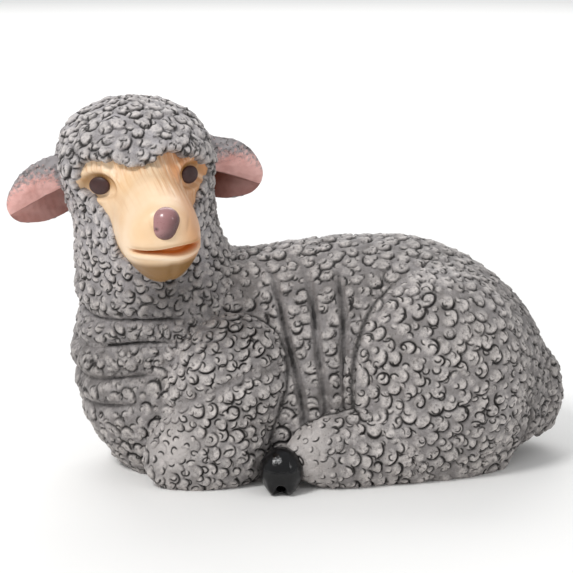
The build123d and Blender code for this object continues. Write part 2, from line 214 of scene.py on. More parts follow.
@dataclass(frozen=True)
class Egg:
    """Ellipsoid with its own tilt about Y and turn about Z, in degrees."""

    centre: Point
    radii: Point
    tilt: float = 0.0
    turn: float = 0.0

    def distance(self, points: Array) -> Array:
        """Near distance to the surface: the scaled length less 1, over its slope."""
        local = (points - np.array(self.centre)) @ (rotation(self.turn, 0, 1) @ rotation(self.tilt, 2, 0))
        radii = np.array(self.radii)
        ratio = np.linalg.norm(local / radii, axis=-1)
        slope = np.linalg.norm(local / radii**2, axis=-1)
        return ratio * (ratio - 1.0) / np.maximum(slope, TINY)


@dataclass(frozen=True)
class Strung:
    """Ellipses strung along an axis, each row giving ahead, across, up, half across and half up."""

    axes: Axes
    rows: Array

    def distance(self, points: Array) -> Array:
        """Near distance to the surface: that of the ellipse at the point's place along the axis."""
        local = self.axes.local(points)
        stations = self.rows[:, 0]
        ahead = np.clip(local[..., 2], stations[0], stations[-1])
        across = local[..., 0] - curve(stations, self.rows[:, 1], ahead)
        up = local[..., 1] - curve(stations, self.rows[:, 2], ahead)
        half_across = np.sqrt(np.maximum(curve(stations, self.rows[:, 3] ** 2, ahead), 0.25))
        half_up = np.sqrt(np.maximum(curve(stations, self.rows[:, 4] ** 2, ahead), 0.25))
        ratio = np.hypot(across / half_across, up / half_up)
        slope = np.hypot(across / half_across**2, up / half_up**2)
        shell = ratio * (ratio - 1.0) / np.maximum(slope, TINY)
        beyond = np.abs(local[..., 2] - ahead)
        return np.where(beyond > 0.0, np.hypot(np.maximum(shell, 0.0), beyond), shell)


@dataclass(frozen=True)
class Spindle:
    """Rays that fan out of a line: round its start, square to it along its length and round its end."""

    start: Point | Array
    end: Point | Array
    side: Point
    counts: tuple[int, int]
    turns: tuple[float, float]
    round_start: float
    round_end: float
    closed: bool = False

    def rays(self) -> tuple[Array, Array]:
        """Origins and directions on a grid, rows along the line and columns round it.

        Returns:
            Two arrays of points and of unit vectors.
        """
        start, end = np.array(self.start), np.array(self.end)
        axis = unit(end - start)
        side = unit(np.array(self.side) - axis * (np.array(self.side) @ axis))
        over = np.cross(axis, side)
        length = np.linalg.norm(end - start)
        place = np.linspace(-self.round_start, length + self.round_end, self.counts[0])
        along = np.clip(place, 0.0, length)
        before = np.clip(-place / max(self.round_start, TINY), 0.0, 1.0)
        after = np.clip((place - length) / max(self.round_end, TINY), 0.0, 1.0)
        lean = (after - before) * math.pi / 2.0
        turn = np.radians(np.linspace(*self.turns, self.counts[1]))
        radial = np.cos(turn)[:, None] * side + np.sin(turn)[:, None] * over
        origins = (start + along[:, None] * axis)[:, None, :] + np.zeros((1, self.counts[1], 1))
        directions = np.cos(lean)[:, None, None] * radial[None] + np.sin(lean)[:, None, None] * axis
        return origins, directions


def reach(origins: Array, directions: Array, distance: Field, limit: float) -> Array:
    """Length of each ray to where the distance field turns positive, found by halving.

    Args:
        origins: ray starts, inside the form.
        directions: unit vectors.
        distance: field that is negative inside.
        limit: longest ray.

    Returns:
        One length for each ray.
    """
    low = np.zeros(origins.shape[:-1])
    high = np.full(origins.shape[:-1], limit)
    for _ in range(HALVINGS):
        middle = (low + high) / 2.0
        inside = distance(origins + middle[..., None] * directions) < 0.0
        low = np.where(inside, middle, low)
        high = np.where(inside, high, middle)
    return low


def normals_of(points: Array, outwards: Array) -> Array:
    """Unit normals of a grid of points, turned to the side that outwards points to."""
    normal = unit(np.cross(np.gradient(points, axis=0), np.gradient(points, axis=1)))
    facing = np.sign((normal * outwards).sum(axis=-1, keepdims=True))
    return np.where(np.abs(normal).sum(axis=-1, keepdims=True) < 0.5, outwards, normal * facing)


@dataclass
class Patch:
    """Grid of surface points, and the values that the paint reads at each of them."""

    points: Array
    closed: bool = False
    paint: dict[str, Array] = field(default_factory=dict)


def write_mesh(name: str, patches: Sequence[Patch]) -> bpy.types.Object:
    """One smooth mesh object out of grids of points in millimetres.

    Args:
        name: name of the object.
        patches: grids that share the same paint values.

    Returns:
        The linked object.
    """
    points, quads, first = [], [], 0
    for patch in patches:
        rows, columns = patch.points.shape[:2]
        index = first + np.arange(rows * columns).reshape(rows, columns)
        index = np.concatenate([index, index[:, :1]], axis=1) if patch.closed else index
        corners = (index[:-1, :-1], index[:-1, 1:], index[1:, 1:], index[1:, :-1])
        quads.append(np.stack(corners, axis=-1).reshape(-1, 4))
        points.append(patch.points.reshape(-1, 3))
        first += rows * columns
    vertices = np.concatenate(points) * MM
    faces = np.concatenate(quads)
    mesh = bpy.data.meshes.new(name)
    mesh.vertices.add(len(vertices))
    mesh.vertices.foreach_set("co", vertices.astype(np.float32).ravel())
    mesh.loops.add(faces.size)
    mesh.loops.foreach_set("vertex_index", faces.astype(np.int32).ravel())
    mesh.polygons.add(len(faces))
    mesh.polygons.foreach_set("loop_start", np.arange(0, faces.size, 4, dtype=np.int32))
    mesh.polygons.foreach_set("use_smooth", np.ones(len(faces), dtype=bool))
    for key in patches[0].paint:
        values = np.concatenate([patch.paint[key].ravel() for patch in patches])
        layer = mesh.attributes.new(key, "FLOAT", "POINT")
        layer.data.foreach_set("value", values.astype(np.float32))
    mesh.update(calc_edges=True)
    mesh.validate()
    piece = bpy.data.objects.new(name, mesh)
    bpy.context.collection.objects.link(piece)
    return piece


def nearby(points: Array) -> Callable[[Array, float], Array]:
    """Search in a cloud of points, which are sorted along X once.

    Args:
        points: the cloud.

    Returns:
        Call that gives the indices of the points in a box of the given half size about a place.
    """
    order = np.argsort(points[:, 0], kind="stable")
    along = points[order, 0]

    def close(place: Array, half: float) -> Array:
        """Indices of the points in the box."""
        first, last = np.searchsorted(along, [place[0] - half, place[0] + half])
        near = order[first:last]
        return near[(np.abs(points[near] - place) < half).all(axis=-1)]

    return close


def everywhere(place: Array) -> float:
    """Full strength at any place."""
    return 1.0


def towards(*direction: float) -> Lean:
    """Lean in the same direction at any place."""
    return lambda place: np.array(direction)


@dataclass(frozen=True)
class Curls:
    """How the curls of one piece are gouged.

    Lengths are millimetres, the groove's half width is a share of the radius, and the swing is radians.
    """

    seed: int
    lean: Lean
    spacing: float = 10.2
    radius: float = 5.9
    rise: float = 1.3
    depth: float = 2.2
    groove: float = 0.15
    swing: float = 0.5
    stretch: float = 1.0
    strength: Callable[[Array], float] = everywhere

    def seats(self, points: Array, allowed: Array, rng: np.random.Generator) -> list[int]:
        """Places for curls: points taken in random order, none nearer than the spacing to another.

        Args:
            points: all surface points.
            allowed: which of them may hold a curl.
            rng: seeded generator.

        Returns:
            Indices of the points that hold a curl, the farthest along their lean first.
        """
        order = rng.permutation(np.flatnonzero(allowed))[::3]
        places = points[order]
        close = nearby(places)
        free = np.ones(len(order), dtype=bool)
        chosen = []
        while free.any():
            pick = int(np.argmax(free))
            chosen.append(int(order[pick]))
            near = close(places[pick], self.spacing)
            free[near] &= ((places[near] - places[pick]) ** 2).sum(axis=-1) > self.spacing**2
        along = [points[seat] @ self.lean(points[seat]) + rng.normal(0.0, 4.0) for seat in chosen]
        return [chosen[rank] for rank in np.argsort(along)[::-1]]

    def carve(self, points: Array, normals: Array, allowed: Array) -> tuple[Array, Array, Array]:
        """Domes with a gouged arc beside each, that winds inwards on some of them.

        A curl's dome rises towards the side it leans to and stops at the arc. The arc lies at one radius,
        and past a right angle its radius falls with the turn, so longer arcs become hooks and spirals.
        A later curl wipes out the arcs under its dome, so that curls overlap like shingles.

        Args:
            points: surface points of shape (n, 3).
            normals: unit normals.
            allowed: which points may hold a curl.

        Returns:
            Heights in millimetres, groove strengths and crest strengths.
        """
        rng = np.random.default_rng(self.seed)
        crest, groove = np.zeros(len(points)), np.zeros(len(points))
        close = nearby(points)
        for seat in self.seats(points, allowed, rng):
            size = self.radius * rng.uniform(0.8, 1.2)
            wind = rng.choice(WINDS, p=WIND_SHARES)
            hand = rng.choice([-1.0, 1.0])
            swing = rng.normal(0.0, self.swing)
            squeeze = self.stretch * rng.uniform(0.85, 1.2)
            strength = self.strength(points[seat])
            bite = strength * rng.uniform(0.55, 1.0)
            normal = normals[seat]
            ahead = self.lean(points[seat])
            ahead = unit(ahead - normal * (ahead @ normal) + 1e-6)
            across = np.cross(normal, ahead)
            ahead, across = (
                ahead * math.cos(swing) + across * math.sin(swing),
                (across * math.cos(swing) - ahead * math.sin(swing)) * hand,
            )
            near = close(points[seat], 1.8 * size)
            offset = points[near] - points[seat]
            near = near[np.abs(offset @ normal) < 0.9 * size]
            offset = points[near] - points[seat]
            east, north = offset @ ahead / (size * squeeze), offset @ across * squeeze / size
            radius = np.hypot(east, north)
            turn = np.arctan2(north, east)
            turn = np.where(turn < ARC_START, turn + FULL_TURN, turn)
            arc = 1.0 - 0.22 * np.maximum(turn - 1.3, 0.0)
            span = smooth(ARC_START, -0.7, turn) * fade(wind - 0.8, wind + 0.1, turn)
            cut = bell(radius - arc, self.groove) * span * bite
            ramp = np.clip(0.5 + 0.6 * east, 0.0, 1.0) * fade(0.78, 1.02, radius)
            dome = strength * (0.8 * ramp + 0.2 * fade(0.2, 1.05, radius))
            cover = strength * fade(0.72, 1.0, radius)
            groove[near] = np.maximum(groove[near] * (1.0 - cover), cut)
            crest[near] = np.maximum(crest[near] * (1.0 - 0.6 * cover), dome)
        return self.rise * crest - self.depth * groove, groove, crest


@dataclass
class Relief:
    """Broad relief at points.

    Heights are in millimetres, creases take painted shade, bare places have no curls, and the paint is paler
    where the wear value is above 0, as on rubbed knees, and darker where it is below, which is mostly
    painted shade.
    """

    height: Array
    crease: Array
    bare: Array
    wear_and_shade: Array

    def darken(self, amount: Array) -> None:
        """Brings the painted shade in creases to at least the amount."""
        self.crease = np.maximum(self.crease, amount)

    def clear(self, amount: Array) -> None:
        """Brings the bareness to at least the amount."""
        self.bare = np.maximum(self.bare, amount)


def even(span: float) -> Field:
    """Field with the same value at any point."""
    return lambda points: np.full(points.shape[:-1], span)


def from_front(crisp: float, soft: float, start: float, end: float) -> Field:
    """Field that goes from crisp to soft between two places along X."""
    return lambda points: crisp + (soft - crisp) * smooth(start, end, points[..., 0])


def plain(points: Array) -> Relief:
    """No relief."""
    return Relief(*(np.zeros(points.shape[:-1]) for _ in range(4)))


@dataclass
class Fleece:
    """A casting covered in gouged curls."""

    name: str
    nodes: tuple[str, ...]

    def patch(
        self,
        spindle: Spindle,
        form: Field,
        curls: Sequence[tuple[Curls, Field]],
        joints: Sequence[tuple[Field, Field]],
        relief: Callable[[Array], Relief] = plain,
    ) -> Patch:
        """Surface where the spindle's rays leave the form, pushed along its normals by the relief.

        Near a neighbour the surface swells by a parabola, which fills the corner between the two.

        Args:
            spindle: rays that reach every point of the surface once.
            form: distance field of the casting.
            curls: how its curls are gouged, each with a field that is positive where they lie.
            joints: distance fields of the neighbours, each with the reach of the swelling at points.
            relief: broad relief.

        Returns:
            The grid with its paint values.
        """
        origins, directions = spindle.rays()
        points = origins + reach(origins, directions, form, FLEECE_RAY)[..., None] * directions
        outwards = normals_of(points, directions)
        clear = np.full(points.shape[:2], 99.0)
        swell, seam = np.zeros(points.shape[:2]), np.zeros(points.shape[:2])
        for neighbour, fillet in joints:
            gap = neighbour(points)
            span = fillet(points)
            clear = np.minimum(clear, gap + 0.1 * span)
            swell = np.maximum(swell, span / 4.0 * (1.0 - np.clip(gap / span, 0.0, 1.0)) ** 2)
            seam = np.maximum(seam, bell(gap + 0.1 * span - 1.5, 1.8) * fade(10.0, 22.0, span))
        points = points + swell[..., None] * outwards
        broad = relief(points)
        points = points + broad.height[..., None] * outwards
        outwards = normals_of(points, directions)
        flat, normals = points.reshape(-1, 3), outwards.reshape(-1, 3)
        height, groove, crest = np.zeros(len(flat)), np.zeros(len(flat)), np.zeros(len(flat))
        for style, where in curls:
            allowed = (clear.ravel() > -4.0) & (flat[:, 2] > 1.0) & (where(flat) > 0.0)
            lift, gouge, top = style.carve(flat, normals, allowed)
            height, groove, crest = height + lift, np.maximum(groove, gouge), np.maximum(crest, top)
        wool = 1.0 - np.clip(broad.bare.ravel(), 0.0, 1.0)
        height, groove, crest = height * wool, groove * wool, crest * wool
        rough = 0.4 * ripple(points, 7.0, 71) + 0.3 * ripple(points, 3.8, 72)
        height = height.reshape(swell.shape) + rough + 0.4 * ripple(points, 19.0, 73)
        points = points + height[..., None] * outwards
        points[..., 2] = np.maximum(points[..., 2], 0.0)
        # Head and neck take a cooler, lighter grey that rises with height: partly the paint's own tone,
        # partly painted light on the upper head.
        cool_and_lit = smooth(70.0, 190.0, points[..., 2]) * fade(-110.0, -60.0, points[..., 0])
        paint = {
            "groove": np.maximum(np.maximum(groove.reshape(swell.shape), broad.crease), 0.6 * seam),
            "crest": crest.reshape(swell.shape),
            "wear_and_shade": broad.wear_and_shade,
            "cool_and_lit": cool_and_lit,
        }
        return Patch(points, spindle.closed, paint)


@dataclass(frozen=True)
class Body:
    """Forms of the whole animal, with the sizes of the solids."""

    half_length: float = 176.0
    half_width: float = 78.0
    height: float = 169.0

    @property
    def torso(self) -> Strung:
        """Barrel of the body along X."""
        shares = np.array(
            (
                (-1.030, 0.00, 0.425, 0.000),
                (-1.023, 0.16, 0.425, 0.085),
                (-1.008, 0.33, 0.420, 0.170),
                (-0.970, 0.50, 0.412, 0.235),
                (-0.900, 0.62, 0.385, 0.315),
                (-0.800, 0.72, 0.350, 0.390),
                (-0.680, 0.80, 0.325, 0.465),
                (-0.455, 0.88, 0.305, 0.605),
                (-0.170, 0.96, 0.300, 0.680),
                (0.170, 1.00, 0.300, 0.710),
                (0.455, 1.00, 0.290, 0.700),
                (0.680, 0.92, 0.285, 0.605),
                (0.850, 0.74, 0.280, 0.470),
                (0.955, 0.50, 0.285, 0.320),
                (1.000, 0.24, 0.295, 0.165),
                (1.012, 0.00, 0.295, 0.000),
            )
        )
        rows = np.stack(
            [
                shares[:, 0] * self.half_length,
                np.zeros(len(shares)),
                shares[:, 2] * self.height,
                shares[:, 1] * self.half_width,
                shares[:, 3] * self.height,
            ],
            axis=-1,
        )
        return Strung(Axes(ORIGIN, Y, Z, X), rows)

    def on(self, shares: Point, side: float) -> Point:
        """Point at shares of half the length, half the width and the height, on one side."""
        return (shares[0] * self.half_length, side * shares[1] * self.half_width, shares[2] * self.height)

    def shoulder(self, side: float) -> Egg:
        """Upper part of a foreleg."""
        return Egg(self.on((-0.42, 0.80, 0.43), side), (42.0, 27.0, 54.0), tilt=15.0)

    def forearm(self, side: float) -> Egg:
        """Folded lower part of a foreleg."""
        return Egg(self.on((-0.53, 0.82, 0.11), side), (44.0, 22.0, 28.0))

    def thigh(self, side: float) -> Egg:
        """Upper part of a hind leg."""
        return Egg(self.on((0.42, 0.67, 0.41), side), (69.0, 45.0, 80.0), tilt=20.0)

    def shank(self, side: float) -> Egg:
        """Lower part of a hind leg, lying forwards."""
        return Egg(self.on((0.14, 0.95, 0.148), side), (62.0, 24.0, 30.0), turn=-12.0 * side)

    @property
    def tail(self) -> Egg:
        """Tail lump on the rump."""
        return Egg(self.on((1.0, 0.0, 0.27), RIGHT), (16.0, 29.0, 34.0))


@dataclass(frozen=True)
class Head:
    """Forms of the neck and head, with the sizes of the solids."""

    neck_x: float = -114.4
    root_height: float = 71.0
    height: float = 209.5
    half_width: float = 57.0
    half_depth: float = 58.0
    lean: float = 23.0
    reach: float = 12.0
    yaw: float = 5.2
    roll: float = 5.0
    centre_share: float = 0.768
    muzzle_reach: float = 122.0
    muzzle_half_width: float = 28.5
    muzzle_height: float = 72.0
    brow_spread: float = 34.0
    brow_drop: float = 5.0
    brow_radius: float = 16.0
    cheek_drop: float = 39.0
    cheek_radius: float = 29.0
    inset: float = 3.0
    tuft_rise: float = 3.0

    @property
    def axes(self) -> Axes:
        """Directions of the face: across to the sheep's left, up the face and ahead out of it."""
        yaw, roll = math.radians(self.yaw), math.radians(self.roll)
        middle = self.root_height + self.centre_share * self.height
        origin = np.array([self.neck_x - self.lean, -self.reach, middle])
        across = np.array([math.cos(yaw) * math.cos(roll), math.sin(yaw) * math.cos(roll), math.sin(roll)])
        ahead = np.array([math.sin(yaw), -math.cos(yaw), 0.0])
        return Axes(origin, across, np.cross(ahead, across), ahead)

    def column(self, grow: float = 0.0) -> Strung:
        """Neck and head along Z, grown outwards."""
        shares = np.array(
            (
                (0.000, 0.04, 0.88, 0.76),
                (0.136, 0.26, 1.04, 0.89),
                (0.277, 0.38, 1.03, 0.94),
                (0.418, 0.50, 0.98, 0.93),
                (0.559, 0.68, 0.93, 0.92),
                (0.676, 0.87, 0.965, 0.96),
                (0.793, 1.00, 1.00, 1.00),
                (0.880, 1.00, 0.905, 0.91),
                (0.935, 1.00, 0.74, 0.75),
                (0.968, 1.00, 0.54, 0.55),
                (0.990, 1.00, 0.30, 0.31),
                (1.000, 1.00, 0.00, 0.00),
            )
        )
        rows = np.stack(
            [
                self.root_height + shares[:, 0] * (self.height + grow),
                self.neck_x - shares[:, 1] * self.lean,
                -shares[:, 1] * self.reach,
                np.maximum(shares[:, 2] * self.half_width + grow, 0.0),
                np.maximum(shares[:, 3] * self.half_depth + grow, 0.0),
            ],
            axis=-1,
        )
        return Strung(Axes(ORIGIN, X, Y, Z), rows)

    @property
    def muzzle(self) -> Strung:
        """Muzzle along the way the face looks."""
        shares = np.array(
            (
                (0.16, 0.36, 0.88, 0.88),
                (0.37, 0.42, 0.97, 1.00),
                (0.51, 0.46, 1.00, 1.00),
                (0.66, 0.50, 1.00, 0.97),
                (0.78, 0.53, 0.96, 0.90),
                (0.895, 0.51, 0.82, 0.75),
                (0.968, 0.47, 0.59, 0.53),
                (1.000, 0.44, 0.32, 0.28),
                (1.012, 0.43, 0.00, 0.00),
            )
        )
        rows = np.stack(
            [
                shares[:, 0] * self.muzzle_reach,
                np.zeros(len(shares)),
                -shares[:, 1] * self.muzzle_height,
                shares[:, 2] * self.muzzle_half_width,
                shares[:, 3] * self.muzzle_height / 2.0,
            ],
            axis=-1,
        )
        return Strung(self.axes, rows)

    def outline(self, across: Array, up: Array) -> Array:
        """Distance to the face's outline seen from the front: a hull round both brows and the cheeks.

        Args:
            across: places across the face.
            up: places up the face.

        Returns:
            Distances, negative inside the outline.
        """
        share = np.clip((up + self.cheek_drop) / (self.cheek_drop - self.brow_drop), 0.0, 1.0)
        reach_out = self.brow_spread * share
        radius = self.cheek_radius + (self.brow_radius - self.cheek_radius) * share
        rise = up + self.cheek_drop - (self.cheek_drop - self.brow_drop) * share
        return np.hypot(np.maximum(np.abs(across) - reach_out, 0.0), rise) - radius

    def hairline(self, local: Array, points: Array) -> Array:
        """Distance to the ragged edge of the fleece round the face, negative over the face.

        The edge is the outline, raised or lowered along the brow and drawn in on the cheeks, plus an
        unevenness.

        Args:
            local: points as across, up and ahead.
            points: the same points in the shared frame.

        Returns:
            One distance for each point.
        """
        across, up, _ = parts(local)
        places = np.array([-60.0, -46.0, -32.0, -20.0, -8.0, 5.0, 20.0, 31.0, 46.0, 60.0])
        lifts = np.array([-2.0, 2.0, 2.0, 1.0, -4.5, -1.0, 3.8, -2.5, -5.0, -7.0])
        lift = curve(places, lifts, across) * smooth(-8.0, 6.0, up)
        levels = np.array([-60.0, -52.0, -41.0, -35.0, -29.0, -24.0, -19.0, -14.0, -9.0, -4.0])
        drawn = np.array([0.0, 3.0, 7.0, 9.0, 10.0, 7.5, 5.5, 3.0, 0.0, 0.0])
        lift -= curve(levels, drawn, up) * smooth(-10.0, -24.0, across)
        lift += 2.5 * bell(up + 7.0, 8.0) * smooth(34.0, 44.0, across)
        lift -= 3.0 * bell(up + 42.0, 12.0) * smooth(10.0, 24.0, across)
        lift -= 4.0 * bell(up - 1.0, 5.0) * smooth(-40.0, -47.0, across)
        ragged = 1.0 * ripple(points, 15.0, 7) + 0.6 * ripple(points, 7.0, 8)
        return self.outline(across, up) - lift + ragged

    @property
    def tufts(self) -> Array:
        """Points on the head that seat the cap's main tufts, in rings about the crown."""
        rings = (
            (0.793, 1.00, 5, 40, 25),
            (0.880, 0.905, 12, 15, 30),
            (0.935, 0.74, 6, 0, 60),
            (0.985, 0.37, 3, 30, 120),
        )
        seats = []
        for rise, width, count, first, step in rings:
            turn = np.radians(first + step * np.arange(count))
            x = self.neck_x - self.lean + width * self.half_width * np.cos(turn)
            y = -self.reach + width * self.half_depth * np.sin(turn)
            seats.append(np.stack([x, y, np.full(count, self.root_height + rise * self.height)], axis=-1))
        return np.concatenate(seats)


BODY = Body()
HEAD = Head()

# Reach of the fillets between castings that meet.
NECK_FILLET = even(36.0)
NECK_SHOULDER_FILLET = even(24.0)
SHOULDER_FILLET = from_front(20.0, 6.0, -85.0, -52.0)
HAUNCH_FILLET = from_front(8.0, 34.0, 30.0, 100.0)
HOCK_FILLET = from_front(8.0, 30.0, 10.0, 60.0)
TAIL_FILLET = even(14.0)
LEG_FILLET = even(8.0)


def anywhere(points: Array) -> Array:
    """Field that is positive at any point."""
    return np.ones(points.shape[:-1])


def linear(colour: str) -> tuple[float, float, float, float]:
    """Linear colour of an sRGB hex colour such as 8c8683."""
    shares = np.array([int(colour[i : i + 2], 16) for i in (0, 2, 4)]) / 255.0
    values = np.where(shares <= 0.04045, shares / 12.92, ((shares + 0.055) / 1.055) ** 2.4)
    return (*[float(value) for value in values], 1.0)


class Nodes:
    """Node tree of one material, with a call that adds a node, its settings and its links."""

    def __init__(self, name: str) -> None:
        """Starts an empty material with an output and a principled shader."""
        self.material = bpy.data.materials.new(name)
        self.material.use_nodes = True
        self.tree = self.material.node_tree
        self.shader = self.tree.nodes["Principled BSDF"]

    def add(self, kind: str, inputs: dict | None = None, **settings) -> bpy.types.Node:
        """Adds a node.

        Args:
            kind: node type.
            inputs: value or socket for each input name or number.
            settings: properties of the node.

        Returns:
            The new node.
        """
        node = self.tree.nodes.new(kind)
        for key, value in settings.items():
            setattr(node, key, value)
        for key, value in (inputs or {}).items():
            self.feed(node.inputs[key], value)
        return node

    def feed(self, socket: bpy.types.NodeSocket, value) -> None:
        """Links a socket to an input, or sets the input's value."""
        if isinstance(value, bpy.types.NodeSocket):
            self.tree.links.new(value, socket)
        else:
            socket.default_value = value

    def shade(self, **inputs) -> bpy.types.Material:
        """Feeds the shader's inputs, with underscores for spaces in their names, and gives the material."""
        for key, value in inputs.items():
            self.feed(self.shader.inputs[key.replace("_", " ")], value)
        return self.material

    def noise(self, size: float, detail: float = 3.0, roughness: float = 0.5) -> bpy.types.NodeSocket:
        """Noise whose features are about the given size in millimetres."""
        place = self.add("ShaderNodeTexCoord").outputs["Object"]
        inputs = {"Vector": place, "Scale": 1000.0 / size, "Detail": detail, "Roughness": roughness}
        return self.add("ShaderNodeTexNoise", inputs).outputs["Fac"]

    def value(self, name: str) -> bpy.types.NodeSocket:
        """Number that the mesh stores at each point."""
        return self.add("ShaderNodeAttribute", attribute_name=name).outputs["Fac"]

    def span(
        self, value, low: float, high: float, start: float = 0.0, stop: float = 1.0
    ) -> bpy.types.NodeSocket:
        """Value mapped from low and high to start and stop, held at the ends."""
        inputs = {"Value": value, "From Min": low, "From Max": high, "To Min": start, "To Max": stop}
        return self.add("ShaderNodeMapRange", inputs, clamp=True).outputs["Result"]

    def mix(self, share, first, second) -> bpy.types.NodeSocket:
        """Colour between two colours."""
        node = self.add("ShaderNodeMix", data_type="RGBA")
        for place, value in ((0, share), (6, first), (7, second)):
            self.feed(node.inputs[place], value)
        return node.outputs[2]

    def over(
        self, under, mask, colour: str, low: float, high: float, most: float = 1.0
    ) -> bpy.types.NodeSocket:
        """Hex colour laid over another, from none where the mask is low to the most where it is high."""
        return self.mix(self.span(mask, low, high, 0.0, most), under, linear(colour))

    def maths(self, first, second, operation: str) -> bpy.types.NodeSocket:
        """Arithmetic on two numbers."""
        return self.add("ShaderNodeMath", {0: first, 1: second}, operation=operation).outputs[0]

    def bump(self, height, distance: float, strength: float) -> bpy.types.NodeSocket:
        """Bumped normal from a height and its depth in millimetres."""
        inputs = {"Height": height, "Distance": distance * MM, "Strength": strength}
        return self.add("ShaderNodeBump", inputs).outputs["Normal"]


@dataclass(frozen=True)
class FleecePaint:
    """Grey paint with a dark wash in the gouges, painted shade in the creases and shaded places, and paler
    dry-brushed crests.
    """

    warm: str = "95908f"
    cool_and_lit: str = "b0abad"
    pale: str = "e6ded9"
    dark: str = "6a645f"
    wash_and_shade: str = "1f1b19"

    def material(self) -> bpy.types.Material:
        """Builds the material."""
        # Matt acrylic brushed on cast resin: stony and mottled, with soft glints on the grain.
        nodes = Nodes("fleece_paint")
        groove, crest, wear_and_shade = nodes.value("groove"), nodes.value("crest"), nodes.value("wear_and_shade")
        patches = nodes.noise(40.0, 4.0)
        mottle = nodes.noise(9.0, 4.0, 0.6)
        grain = nodes.noise(3.0, 4.0, 0.62)
        fine = nodes.noise(1.1, 3.0)
        # Cooler, lighter grey on the head and neck, partly painted light.
        colour = nodes.mix(nodes.value("cool_and_lit"), linear(self.warm), linear(self.cool_and_lit))
        colour = nodes.over(colour, patches, self.dark, 0.4, 0.7, 0.4)
        colour = nodes.over(colour, mottle, self.dark, 0.48, 0.7, 0.5)
        colour = nodes.over(colour, mottle, self.pale, 0.46, 0.3, 0.4)
        colour = nodes.over(colour, grain, self.dark, 0.42, 0.28, 0.6)
        # A dry brush leaves pale paint on what stands out.
        raised = nodes.maths(nodes.span(crest, 0.1, 0.8), nodes.span(grain, 0.34, 0.58), "MULTIPLY")
        colour = nodes.over(colour, nodes.maths(raised, wear_and_shade, "MAXIMUM"), self.pale, 0.0, 1.0, 0.75)
        # A thin wash settles in pores and gouges, and the same dark colour is painted as shade in the
        # creases and shaded places.
        colour = nodes.over(colour, fine, self.wash_and_shade, 0.62, 0.72, 0.5)
        dirt_and_shade = nodes.maths(groove, nodes.span(grain, 0.3, 0.7, -0.1, 0.12), "ADD")
        colour = nodes.over(colour, dirt_and_shade, self.wash_and_shade, 0.12, 0.62, 0.95)
        # Painted shade where the wear value falls below 0.
        colour = nodes.over(colour, wear_and_shade, self.wash_and_shade, 0.0, -1.0, 0.6)
        return nodes.shade(
            Base_Color=colour,
            Roughness=nodes.span(grain, 0.3, 0.7, 0.5, 0.7),
            Normal=nodes.bump(nodes.maths(grain, fine, "ADD"), 1.0, 0.9),
        )


@dataclass(frozen=True)
class PlainPaint:
    """One paint with small unevenness, for the eyes, the hooves and the base."""

    name: str
    colour: str
    shade: str
    roughness: float
    coat: float
    grain: float = 3.0
    relief: float = 0.15
    specular: float = 0.5

    def material(self) -> bpy.types.Material:
        """Builds the material."""
        nodes = Nodes(self.name)
        grain = nodes.noise(self.grain, 4.0, 0.6)
        patches = nodes.noise(self.grain * 4.0)
        return nodes.shade(
            Base_Color=nodes.over(linear(self.colour), patches, self.shade, 0.35, 0.7),
            Roughness=nodes.span(grain, 0.3, 0.7, self.roughness * 0.8, self.roughness * 1.25),
            Specular_IOR_Level=self.specular,
            Coat_Weight=self.coat,
            Coat_Roughness=0.12,
            Normal=nodes.bump(grain, self.relief, 0.6),
        )


def dress(
    piece: bpy.types.Object, material: bpy.types.Material, nodes: Sequence[str]
) -> None:
    """Paints a piece, hangs it under the root and hides the solids that it stands for.

    Args:
        piece: finished object.
        material: its paint.
        nodes: solids that the piece replaces.
    """
    piece.data.materials.append(material)
    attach(piece, "root")
    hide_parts(*nodes)
    log.info("%s: %d points", piece.name, len(piece.data.vertices))


